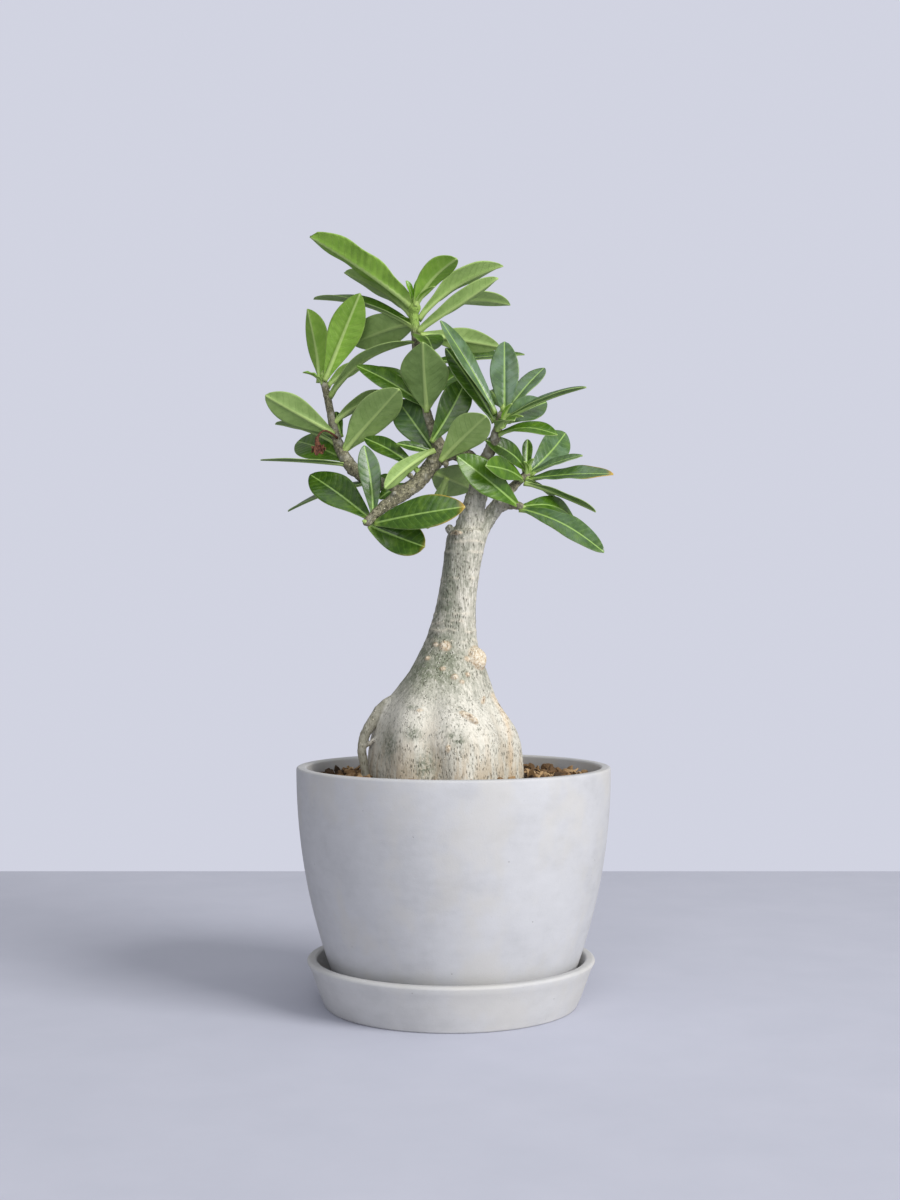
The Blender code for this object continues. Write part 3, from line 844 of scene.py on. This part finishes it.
# ----------------------------------------------------------
# Leaves
# Thick, leathery blades, widest past the middle, in whorls at the twig tips. The upper side is
# glossy with a sunken midrib; the underside is paler and matt, and its midrib stands proud.

LEAF_BASE = 2.4
LEAF_ALONG = 44
LEAF_ACROSS = 18
BLADE = 0.42         # mm thick at the edge
RIB = 1.25           # mm more at the midrib, on the underside
VEIN_GAP = 4.8       # mm between side veins
VEIN_SLANT = 0.42    # mm that a side vein runs forwards for each mm outwards

# The same rows as the solids': where the midrib starts and ends in mm, width, the way the upper
# side faces, arch, fold. Then how young it is, from 0 to 1, and how much its edges wave.
LEAVES = {
    "top": [
        ((-27, -1, 446), (-91, -10, 488), 22, (0, 0.5, 1), 0.03, 0.65, 0.80, 1.3),
        ((-26, 1, 440), (-72, 34, 475), 22, (0, 0.6, 1), 0.05, 0.2, 0.65, 0.6),
        ((-25, -1, 433), (-93, 40, 459), 18, (0, -0.3, 1), 0.06, 0.5, 0.35, 0.3),
        ((-24, 2, 436), (-67, 28, 427), 24, (0, 1, 0.5), 0.06, 0.15, 0.55, 0.5),
        ((-25, -3, 446), (2, -20, 472), 19, (-0.6, 0.8, 0.6), 0.1, 0.4, 1.0, 0.5),
        ((-23, 1, 438), (32, 14, 475), 24, (0, 0.4, 1), 0.08, 0.4, 0.65, 0.7),
        ((-23, -1, 430), (28, -14, 461), 16, (0, 0.3, 1), -0.02, 0.5, 0.65, 0.3),
        ((-24, 4, 431), (38, 50, 457), 20, (0, 0.3, 1), 0.13, 0.2, 0.65, 0.6),
        ((-22, 0, 428), (30, 8, 421), 16, (0, 1, 0.5), 0.08, 0.15, 0.55, 0.5),
        ((-23, -1, 425), (-13, -28, 413), 20, (0, -0.2, 1), 0.15, 0.2, 0.15, 0.3),
        ((-20, 0, 409), (47, 34, 421), 14, (0, -0.7, 1), 0.02, 0.2, 0.10, 0.3),
    ],
    "top_left": [
        ((-84, 19, 401), (-60, 4, 455), 22, (0, 1, 0.2), 0.04, 0.15, 0.85, 0.5),
        ((-87, 21, 400), (-96, 30, 450), 22, (0.7, 0.8, 0.2), 0.05, 0.3, 0.90, 0.3),
        ((-83, 21, 398), (-60, 34, 413), 13, (0, 0.8, 1), 0.08, 0.2, 0.70, 0.3),
        ((-81, 17, 391), (-25, -17, 420), 18, (0, -0.2, 1), 0.1, 0.5, 0.45, 0.3),
    ],
    "left": [
        ((-77, 9, 365), (-120, -6, 388), 20, (0, 1, 0.5), 0.05, 0.15, 0.40, 0.3),
        ((-76, 10, 360), (-117, 26, 374), 16, (0, 0.2, 1), 0.05, 0.15, 0.25, 0.3),
        ((-71, 4, 353), (-34, -27, 389), 26, (-0.4, 1, 0.3), 0.06, 0.2, 0.45, 0.6),
        ((-78, 13, 373), (-43, 16, 393), 14, (0, 0.8, 1), 0.1, 0.2, 0.40, 0.3),
        ((-68, 1, 347), (-104, 41, 364), 24, (0.1, -1, 0.3), 0.05, 0.15, 0.35, 0.4),
        ((-67, -1, 345), (-123, -6, 347), 16, (0, 0, 1), 0.01, 0.1, 0.10, 0.2),
    ],
    "low_left": [
        ((-52, -26, 308), (-92, 0, 338), 24, (0.2, -1, 0.5), 0.06, 0.15, 0.08, 0.6),
        ((-50, -27, 310), (-56, -24, 354), 14, (0.2, -1, 0), 0.04, 0.2, 0.03, 0.2),
        ((-50, -13, 333), (-108, 17, 316), 14, (0, -0.5, 1), 0.04, 0.2, 0.05, 0.2),
        ((-50, -28, 305), (7, -46, 314), 22, (0, -1, 0.4), 0.06, 0.15, 0.20, 0.4),
        ((-53, -27, 304), (-18, -35, 290), 22, (0, -1, 0.3), -0.1, 0.15, 0.12, 0.9),
    ],
    "centre": [
        ((-17, -7, 378), (-19, -40, 416), 30, (0.1, 1, 0.6), 0.03, 0.15, 0.30, 0.9),
        ((-18, -4, 383), (-41, 24, 396), 15, (0, -0.5, 1), 0.05, 0.15, 0.10, 0.3),
        ((-17, -6, 381), (-62, -6, 407), 15, (0, -1, 0.6), 0.04, 0.15, 0.25, 0.4),
        ((-20, -3, 392), (-51, 12, 409), 12, (0, -0.2, 1), 0.05, 0.3, 0.40, 0.3),
        ((-11, -8, 350), (-36, 4, 386), 22, (-0.3, -1, 0.3), 0.04, 0.15, 0.05, 0.4),
        ((-22, -16, 339), (-57, -3, 361), 13, (0, -1, 0.7), 0.06, 0.2, 0.0, 0.2),
        ((-14, -15, 357), (8, -11, 397), 20, (0.3, -1, 0.2), 0.04, 0.15, 0.0, 0.3),
        ((-8, -14, 346), (20, -43, 370), 23, (-0.25, 1, 0.1), 0.06, 0.2, 0.62, 0.3),
        ((-13, -16, 352), (-43, -38, 326), 13, (-0.3, 1, 0.6), 0.06, 0.3, 0.44, 0.2),
        ((-14, -9, 339), (13, 30, 331), 26, (0, 0.8, 0.4), 0.04, 0.15, 0.45, 0.3),
        ((-16, -1, 388), (12, 28, 411), 20, (-0.4, -1, 0.5), 0.04, 0.2, 0.35, 0.3),
    ],
    "right": [
        ((27, -24, 374), (-8, -30, 431), 17, (0.8, -0.8, 0.5), 0.03, 0.15, 0.08, 0.3),
        ((32, -22, 375), (32, -18, 420), 18, (0, -1, 0.1), 0.04, 0.15, 0.08, 0.4),
        ((30, -25, 370), (82, -35, 389), 14, (0, -0.3, 1), 0.04, 0.4, 0.03, 0.2),
        ((31, -20, 373), (59, 16, 409), 14, (0, -0.5, 1), 0.05, 0.2, 0.08, 0.3),
        ((30, -23, 368), (59, -11, 383), 19, (0, -1, 0.6), 0.05, 0.15, 0.15, 0.3),
        ((26, -22, 369), (-5, -18, 416), 15, (0.3, -1, 0.3), 0.03, 0.2, 0.15, 0.3),
        ((27, -23, 365), (37, -46, 367), 12, (0, -0.6, 1), 0.1, 0.2, 0.25, 0.3),
        ((28, -22, 362), (64, -38, 359), 14, (0, -0.8, 1), 0.1, 0.2, 0.35, 0.3),
    ],
    "far_right": [
        ((47, 7, 341), (20, -19, 358), 15, (0.1, -1, 0.5), 0.13, 0.15, 0.15, 0.3),
        ((47, 8, 338), (75, 44, 370), 20, (0.3, -1, 0.3), 0.05, 0.15, 0.20, 0.4),
        ((45, 3, 335), (20, -37, 340), 16, (0, -1, 0.3), 0.06, 0.15, 0.35, 0.4),
        ((48, 6, 336), (102, -4, 338), 18, (0, -0.7, 1), 0.03, 0.2, 0.10, 0.6),
        ((48, 6, 339), (83, 5, 351), 12, (0, -0.4, 1), 0.03, 0.2, 0.20, 0.3),
        ((46, 5, 334), (91, -4, 314), 12, (0.3, 0, 1), 0.02, 0.4, 0.10, 0.5),
    ],
    "right_stub": [
        ((42, -6, 317), (2, -28, 347), 21, (0.1, -1, 0.25), 0.08, 0.15, 0.35, 0.5),
        ((42, -5, 317), (79, 10, 309), 20, (0, -1, 1), 0.17, 0.15, 0.30, 0.5),
        ((42, -7, 316), (94, -26, 287), 17, (0.3, -1, 0.6), 0.08, 0.15, 0.12, 0.4),
    ],
}


def leaf_side(skin, rib_base, rib_edge):
    """What both sides share: veins that run forwards from the midrib, mottled flesh, and the puffs
    between the veins, whose mask also paints shade.
    """
    share, edge_share = skin.attribute("share"), skin.attribute("edge")
    off = skin.attribute("across").size()
    lane = skin.attribute("along") - off * VEIN_SLANT - off * off * 0.035 + skin.cloud(9, 2) * 1.6
    gap = lane.maths("PINGPONG", lane, VEIN_GAP / 2)
    vein = gap.step(0.26, 0.03) * edge_share.step(0.98, 0.80) * off.step(0.3, 1.2)
    midrib = (off - (1 - share) * rib_base).step(rib_edge, 0.15)
    mottle, fine = skin.cloud(6, 3, 0.6), skin.cloud(0.8, 2, 0.6)
    puff_and_shade = gap.step(0.1, 2.0)
    return share, edge_share, skin.attribute("young"), mottle, fine, vein, puff_and_shade, midrib


green = Finish("leaf_upper_side")
share, edge_share, age, mottle, fine, vein, puff_and_shade, midrib = leaf_side(green, 0.35, 0.55)
# Painted sheen: pale grey-green patches on some upper sides stand in for the reflection of the pale
# room, and dim the veins below them.
haze = green.attribute("haze") * (0.35 + 0.65 * green.cloud(11, 3).step(0.40, 0.62))
dark = green.ramp(
    mottle, (0.3, (0.019, 0.058, 0.004)), (0.5, (0.040, 0.098, 0.006)), (0.7, (0.082, 0.160, 0.011))
)
light = green.ramp(mottle, (0.3, (0.13, 0.32, 0.012)), (0.7, (0.21, 0.44, 0.022)))
colour = green.layers(
    dark,
    (age.step(0.05, 1.0), light),
    (haze * 0.8, (0.145, 0.235, 0.150)),
    (vein * (0.45 - 0.2 * haze), (0.12, 0.27, 0.035)),
    # Painted shade: the puffed flesh between the veins is darkened a little.
    (puff_and_shade * 0.10, (0.014, 0.055, 0.005)),
    (edge_share.step(0.93, 1.0) * 0.35, (0.20, 0.32, 0.06)),
    (midrib * 0.85, (0.30, 0.47, 0.12)),
    (share.step(0.10, 0.0) * 0.8, (0.26, 0.38, 0.08)),
    (green.attribute("dry") * 0.9, (0.52, 0.30, 0.04)),
)
leaf_upper = green.paint(
    puff_and_shade * 0.3 + fine * 0.10 - vein * 0.3 + mottle * 0.3, 0.35, Base_Color=colour,
    Roughness=0.25 + 0.20 * mottle - 0.04 * midrib,
    Specular_IOR_Level=0.38, Coat_Weight=0.20, Coat_Roughness=0.17,
)

green = Finish("leaf_underside")
share, edge_share, age, mottle, fine, vein, puff_and_shade, midrib = leaf_side(green, 0.6, 0.8)
dark = green.ramp(mottle, (0.3, (0.080, 0.150, 0.034)), (0.7, (0.13, 0.225, 0.055)))
light = green.ramp(mottle, (0.3, (0.240, 0.370, 0.098)), (0.7, (0.335, 0.475, 0.155)))
fresh = green.ramp(mottle, (0.3, (0.17, 0.33, 0.030)), (0.7, (0.25, 0.43, 0.055)))
colour = green.layers(
    dark,
    (age.step(0.0, 0.66), light),
    (age.step(0.60, 0.80), fresh),
    # Painted shade: on young undersides the puffed flesh between the veins is a darker green, in
    # bands across the quilting.
    (puff_and_shade * age.step(0.72, 0.82) * 0.30, (0.13, 0.27, 0.018)),
    (vein * 0.30, (0.17, 0.29, 0.07)),
    (fine.step(0.55, 0.8) * 0.25, (0.36, 0.48, 0.20)),
    (edge_share.step(0.94, 1.0) * 0.5, (0.38, 0.50, 0.18)),
    (midrib * 0.80, (0.42, 0.56, 0.19)),
    (share.step(0.12, 0.0) * 0.8, (0.34, 0.47, 0.12)),
    (green.attribute("dry") * 0.9, (0.55, 0.38, 0.08)),
)
leaf_under = green.paint(
    vein * 0.5 + fine * 0.15 + mottle * 0.2, 0.25, Base_Color=colour,
    Roughness=0.50 + 0.14 * mottle, Specular_IOR_Level=0.4,
)

# Leaves with an outline of their own: where they are widest, and how blunt the ends are.
OUTLINES = {
    "leaf_top_1": (0.60, 0.42), "leaf_centre_1": (0.53, 0.95), "leaf_top_5": (0.62, 0.60),
    "leaf_low_left_5": (0.60, 0.55), "leaf_right_2": (0.58, 0.60),
}
# How far the flesh puffs up between the veins of the biggest young leaves; others have a little.
QUILTED = {"leaf_top_1": 0.60, "leaf_top_2": 0.35, "leaf_top_left_1": 0.25}
# How much painted sheen some upper sides get: a pale grey-green that stands in for the reflection
# of the pale room.
PAINTED_SHEEN = {
    "leaf_right_1": 0.9, "leaf_right_2": 1.0, "leaf_right_3": 0.7, "leaf_right_4": 0.8,
    "leaf_right_5": 0.6, "leaf_far_right_2": 0.7, "leaf_far_right_4": 0.5, "leaf_far_right_5": 0.6,
    "leaf_far_right_6": 0.5, "leaf_right_stub_3": 0.45, "leaf_low_left_2": 0.5,
    "leaf_low_left_3": 0.8, "leaf_left_6": 0.7, "leaf_centre_5": 0.3,
}

# The pattern for every leaf: a flat grid from -1 to 1, along X and across Y.
only()
bpy.ops.mesh.primitive_grid_add(x_subdivisions=LEAF_ALONG, y_subdivisions=LEAF_ACROSS, size=2)
leaf_pattern = bpy.context.object
leaf_pattern.name = "leaf_pattern"
leaf_pattern.data.materials.append(leaf_upper)
leaf_pattern.data.materials.append(leaf_under)
pattern_points = points_of(leaf_pattern)


def half_width(share, width, widest, blunt):
    """Half the blade's width along it: a narrow stalk, the widest place, and a round tip."""
    power = math.log(0.5) / math.log(widest)
    ends = LEAF_BASE + (0.5 - LEAF_BASE) * share
    swell = np.sin(math.pi * np.clip(share, 0, 1) ** power) ** blunt
    return (ends + (width - ends) * swell) / 2


def lay_leaf(name, row, wavy, age, dry=0.0, thick=1.0):
    """One leaf: the pattern laid along its midrib, folded, arched and given its thickness."""
    base, tip, width, faces, arch, fold = row
    luck = random.Random("blade_" + name)
    made = bpy.data.objects.new(name + "_blade", leaf_pattern.data.copy())
    bpy.context.scene.collection.objects.link(made)
    base, tip = Vector(base), Vector(tip)
    length = (tip - base).length
    ahead = (tip - base).normalized()
    upper = (Vector(faces) - Vector(faces).project(ahead)).normalized()
    u = (pattern_points[:, 0] + 1) / 2
    v = pattern_points[:, 1]
    share = u + 0.06 * np.sin(2 * math.pi * u) * (u > 0.5)     # closer rows towards the tip
    widest, blunt = luck.uniform(0.585, 0.655), luck.uniform(0.66, 0.8)
    half = half_width(share, width, *OUTLINES.get(name, (widest, blunt)))
    across = v * half * (1 + 0.03 * luck.uniform(-1, 1) * np.sin(9 * share))
    off = np.abs(across)
    # The fold, the arch, the groove of the midrib, the wavy edges and the quilting.
    rise = fold * off * (1 - 0.22 * off / (width / 2))
    rise += arch * length * np.sin(math.pi * share)
    rise -= 0.5 * hump(across, 0.9) * fade(share, 1.2, 0.2)
    turns = share * luck.uniform(1.8, 3.0)
    wave = np.sin(2 * math.pi * turns + luck.uniform(0, 6) + 2.2 * np.sign(v))
    rise += wavy * 0.9 * wave * np.abs(v) ** 2.2 * fade(share, 0, 0.25) * (1 - share) ** 0.3
    quilt = np.cos(2 * math.pi * (share * length - off * VEIN_SLANT) / VEIN_GAP)
    puffed = QUILTED.get(name, 0.09) * (0.4 + wavy)
    rise += puffed * quilt * np.abs(v) ** 0.7 * (1 - np.abs(v)) * 2
    twist = luck.uniform(-0.16, 0.16) * (share - 0.2)
    sweep = luck.uniform(-0.022, 0.022) * length * np.sin(math.pi * share)
    places = (
        np.array(base) + np.outer(share * length, ahead)
        + np.outer(across * np.cos(twist) + sweep, upper.cross(ahead))
        + np.outer(rise + across * np.sin(twist), upper)
    )
    set_points(made, places * MM)
    spoiled = fade(share, 0.93, 0.98) + fade(np.abs(v), 0.93, 0.98) * fade(share, 0.6, 0.8)
    for mark, values in {
        "along": share * length, "across": across, "share": share, "edge": np.abs(v),
        "young": np.full(len(u), age), "haze": np.full(len(u), PAINTED_SHEEN.get(name, 0.0)),
        "dry": np.clip(spoiled, 0, 1) * dry,
    }.items():
        attach(made, mark, values)
    body = made.vertex_groups.new(name="body")
    rib = RIB * hump(across, 0.95) * (1.05 - 0.75 * share) * thick
    depth = BLADE * thick + rib + 0.9 * fade(share, 0.1, 0)
    deepest = float(depth.max())
    for i, one in enumerate(depth):
        body.add([i], float(one / deepest), "REPLACE")
    finish_modifiers(made, ("SOLIDIFY", {
        "thickness": deepest * MM, "offset": -1.0, "vertex_group": "body", "material_offset": 1,
        "material_offset_rim": 1, "use_even_offset": False,
    }))
    return made


def whorl(name, leaves, slot, stands_for=()):
    """Joins the leaves of one twig into one piece, which stands for their solids."""
    only(*leaves)
    bpy.ops.object.join()
    made = bpy.context.object
    made.name = made.data.name = name
    bpy.ops.object.shade_smooth()
    belongs(made, slot, *stands_for)


DRY_TIPS = {"leaf_far_right_4": 1.0, "leaf_low_left_4": 0.8, "leaf_low_left_5": 0.35}
for twig, rows in LEAVES.items():
    leaves, nodes = [], []
    for number, (*row, age, wavy) in enumerate(rows, 1):
        node = f"leaf_{twig}_{number}"
        leaves.append(lay_leaf(node, row, wavy, age, DRY_TIPS.get(node, 0.0)))
        nodes.append(node)
    whorl("leaves_" + twig, leaves, "young_leaf" if twig.startswith("top") else "leaf", nodes)


# ----------------------------------------------------------
# Small leaves, buds and a spent flower
# The odd small, curled or broken leaves between the whorls, the pale clusters of new leaf buds at
# the twig tips, and one shrivelled brown flower that still hangs from the left branch.

SMALL_LEAVES = [
    ((-85, 19, 400), (-98, 15, 406), 6, (0, -0.3, 1), 0.12, 0.3, 0.8, 0.5),
    ((-70, 6, 352), (-62, -4, 379), 5, (0, 0.3, 1), 0.05, 0.3, 0.3, 0.2),
    ((-73, 12, 364), (-77, 20, 381), 7, (0, -1, 0.3), 0.05, 0.2, 0.1, 0.2),
    ((-21, -8, 395), (-45, 14, 401), 7, (0, -0.5, 1), 0.06, 0.2, 0.2, 0.2),
    ((-9, -8, 350), (-36, -16, 356), 7, (0, -1, 0.6), 0.05, 0.2, 0.1, 0.2),
    ((-33, -18, 328), (-51, -10, 333), 11, (0, -1, 0.5), 0.1, 0.2, 0.02, 0.2),
    ((-30, -18, 330), (-47, -18, 321), 8, (0, -1, 0.5), 0.1, 0.2, 0.3, 0.2),
    ((-4, -3, 336), (-17, 12, 304), 10, (0, 1, 0.2), 0.05, 0.2, 0.5, 0.2),
    ((32, -18, 378), (24, 6, 393), 13, (0, -1, 0.2), 0.05, 0.2, 0.05, 0.2),
    ((28, -21, 372), (15, -14, 383), 6, (0, -1, 0.4), 0.05, 0.2, 0.4, 0.2),
    ((47, 5, 337), (71, 12, 318), 9, (0.3, -0.3, 1), 0.03, 0.3, 0.1, 0.3),
    ((47, 7, 341), (48, 12, 362), 7, (0, -1, 0.1), 0.05, 0.2, 0.0, 0.2),
    ((48, 8, 338), (56, 22, 347), 7, (0, -1, 0.3), 0.08, 0.2, 0.2, 0.3),
    ((-25, -1, 447), (-19, -4, 466), 6, (-0.5, -0.6, 0.2), 0.08, 0.3, 1.0, 0.2),
    ((-26, -2, 447), (-30, -6, 461), 5, (0.5, -0.6, 0.2), 0.08, 0.3, 0.9, 0.2),
    ((-24, -3, 446), (-12, -13, 456), 6, (-0.5, 0.2, 0.8), 0.08, 0.3, 1.0, 0.2),
    ((30, -24, 367), (36, -33, 379), 5, (-0.6, 0.5, 0.4), 0.1, 0.3, 0.9, 0.2),
    ((31, -24, 367), (43, -34, 371), 5, (0, 0.2, 1), 0.1, 0.3, 1.0, 0.2),
    ((30, -25, 366), (31, -35, 369), 5, (0, 0.2, 1), 0.1, 0.3, 0.9, 0.2),
    ((47, 6, 338), (51, -4, 348), 5, (-0.5, 0.5, 0.5), 0.1, 0.3, 0.9, 0.2),
    ((47, 6, 338), (45, -6, 346), 4, (0.5, 0.5, 0.5), 0.1, 0.3, 0.9, 0.2),
]
small = [
    lay_leaf(f"small_leaf_{i}", row, wavy, age, thick=0.75)
    for i, (*row, age, wavy) in enumerate(SMALL_LEAVES)
]
whorl("small_leaves", small, "young_leaf")

bud_skin = Finish("pale_leaf_bud")
scale_pattern = bud_skin.cloud(1.4, 3, 0.6)
bud_skin.paint(
    scale_pattern, 0.3, Roughness=0.42 + 0.1 * scale_pattern,
    Base_Color=bud_skin.ramp(scale_pattern, (0.35, (0.20, 0.34, 0.05)), (0.6, (0.40, 0.52, 0.16))),
)
# Where each bud sits, which way it leans, its length and its radius, in mm.
BUDS = [
    ((-25.5, -1, 447), (0.1, -0.2, 1), 7, 1.7), ((-24.5, -2.5, 446), (0.6, -0.5, 0.8), 5, 1.3),
    ((30.5, -24, 375), (0.1, -0.5, 1), 5, 1.6), ((32, -25, 371), (0.7, -0.6, 0.5), 5, 1.3),
    ((34, -25, 368), (0.8, -0.7, 0.2), 4.5, 1.2), ((48.5, 6.5, 340), (0.3, -0.4, 1), 5, 1.5),
    ((50, 5, 338), (0.9, -0.4, 0.5), 4, 1.2), ((-54, -28.5, 305.5), (-0.7, -0.4, 0.2), 3.5, 1.6),
    ((-85.5, 20, 403), (0, 0, 1), 5, 1.5), ((43.5, -6, 316.5), (1, -0.3, 0), 3, 1.5),
]
buds = []
for place, lean, length, radius in BUDS:
    lean = Vector(lean).normalized()
    middle = Vector(place) + lean * length * 0.4
    half_long = length * 0.6
    bud = lump(middle * MM, lean, (radius, radius, half_long))
    only(bud)
    bpy.ops.object.transform_apply(location=True, rotation=True, scale=True)
    shape = points_of(bud) / MM
    climb = np.clip(((shape - np.array(middle)) @ np.array(lean)) / half_long, -1, 1)
    axis = np.array(middle) + np.outer(climb * half_long, lean)
    narrower = 1 - 0.45 * np.clip(climb, 0, 1)
    set_points(bud, (axis + (shape - axis) * narrower[:, None]) * MM)
    bud.data.materials.append(bud_skin.material)
    buds.append(bud)
whorl("leaf_buds", buds, "young_leaf")

dry_skin = Finish("shrivelled_petal")
crease = dry_skin.cloud(1.2, 4, 0.7)
dry_skin.paint(
    crease, 0.6, Roughness=0.7 + 0.2 * crease,
    Base_Color=dry_skin.ramp(crease, (0.35, (0.035, 0.013, 0.008)), (0.55, (0.130, 0.042, 0.018)),
                             (0.7, (0.30, 0.125, 0.050))),
)
stalk = tube("spent_flower_stalk", [(-75, 5, 362), (-80, -2, 366), (-85, -6, 365), (-87, -7, 360)],
             (0.9, 0.6, 0.6, 0.9))
throat = tube("spent_flower_tube", [(-87, -7, 361), (-87, -7.5, 357.5), (-86, -8, 354.5)],
              (1.0, 1.6, 2.1))
petals = [
    lay_leaf(f"petal_{i}", ((-86.3, -8, 356), tip, 4, faces, 0.15, 0.5), 1.0, 0.0, thick=0.7)
    for i, (tip, faces) in enumerate([
        ((-83, -11, 350), (0, -1, 0)), ((-87, -12, 349), (0, -1, 0)),
        ((-81.5, -7, 352.5), (1, 0, 0)), ((-90, -9, 351), (-1, 0, 0)),
    ])
]
for part in (stalk, throat, *petals):
    part.data.materials.clear()
    part.data.materials.append(dry_skin.material)
    part.data.polygons.foreach_set("material_index", [0] * len(part.data.polygons))
whorl("spent_flower", [stalk, throat, *petals], "dry_petal")

bpy.data.objects.remove(leaf_pattern)


# ----------------------------------------------------------
# Table, light and camera
# A plain pale table that ends behind the pot, against an open pale background. A large soft light
# stands at the right, a weaker one in front and a small one above, and the background fills in.

TABLE_BACK = 0.545
TABLE_FRONT = -3.2
TABLE_WIDE = 7.0
ROOM_COLOUR = (0.640, 0.655, 0.755, 1)
FILL_COLOUR = (0.625, 0.63, 0.655, 1)
FILL_STRENGTH = 0.50
EYE = (-0.001, -1.023, 0.241)

only()
bpy.ops.mesh.primitive_plane_add(size=1, location=(0, (TABLE_BACK + TABLE_FRONT) / 2, 0))
table = bpy.context.object
table.name = "table"
table.scale = (TABLE_WIDE, TABLE_BACK - TABLE_FRONT, 1)
bpy.ops.object.transform_apply(location=True, rotation=True, scale=True)
table_skin = Finish("matt_table")
wear = table_skin.cloud(60, 4, 0.6)
table.data.materials.append(table_skin.paint(
    wear, 0.05, Roughness=0.82 + 0.1 * wear, Specular_IOR_Level=0.08,
    Base_Color=table_skin.ramp(wear, (0.3, (0.520, 0.535, 0.628)), (0.7, (0.545, 0.558, 0.652))),
))
table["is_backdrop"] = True

# What is seen behind the table, and the weaker light that the same room sends to the plant.
world = bpy.data.worlds.new("pale_room")
bpy.context.scene.world = world
world.use_nodes = True
nodes, join = world.node_tree.nodes, world.node_tree.links.new
backdrop = nodes["Background"]
backdrop.inputs["Color"].default_value = ROOM_COLOUR
backdrop.inputs["Strength"].default_value = 1.0
fill = nodes.new("ShaderNodeBackground")
fill.inputs["Color"].default_value = FILL_COLOUR
fill.inputs["Strength"].default_value = FILL_STRENGTH
both = nodes.new("ShaderNodeMixShader")
join(nodes.new("ShaderNodeLightPath").outputs["Is Camera Ray"], both.inputs[0])
join(fill.outputs[0], both.inputs[1])
join(backdrop.outputs[0], both.inputs[2])
join(both.outputs[0], nodes["World Output"].inputs[0])

# Each light's place and what it points at, both in metres, its width, power and colour.
for name, place, aim, size, power, colour in (
    ("window_light", (4.30, -3.20, 2.86), (0, 0, 0.24), 2.8, 352, (1.0, 0.985, 0.955)),
    ("front_light", (-0.6, -5.4, 2.15), (0, 0, 0.25), 3.2, 96, (0.98, 0.99, 1.0)),
    ("top_light", (0.1, -0.1, 1.7), (0, 0, 0.2), 1.2, 5, (0.97, 0.985, 1.0)),
):
    only()
    bpy.ops.object.light_add(type="AREA", location=place)
    light = bpy.context.object
    light.name = name
    light.data.shape = "SQUARE"
    light.data.size = size
    light.data.energy = power
    light.data.color = colour
    light.rotation_euler = (Vector(aim) - Vector(place)).to_track_quat("-Z", "Y").to_euler()

bpy.ops.object.camera_add(location=EYE, rotation=(math.pi / 2, 0, 0))
camera = bpy.context.object
camera.data.lens = 47.9
camera.data.sensor_width = 36
camera.data.shift_x = -0.0017
camera.data.shift_y = 0.0215
camera.data.dof.use_dof = False
bpy.context.scene.camera = camera
bpy.context.scene.view_settings.view_transform = "Standard"

low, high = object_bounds()
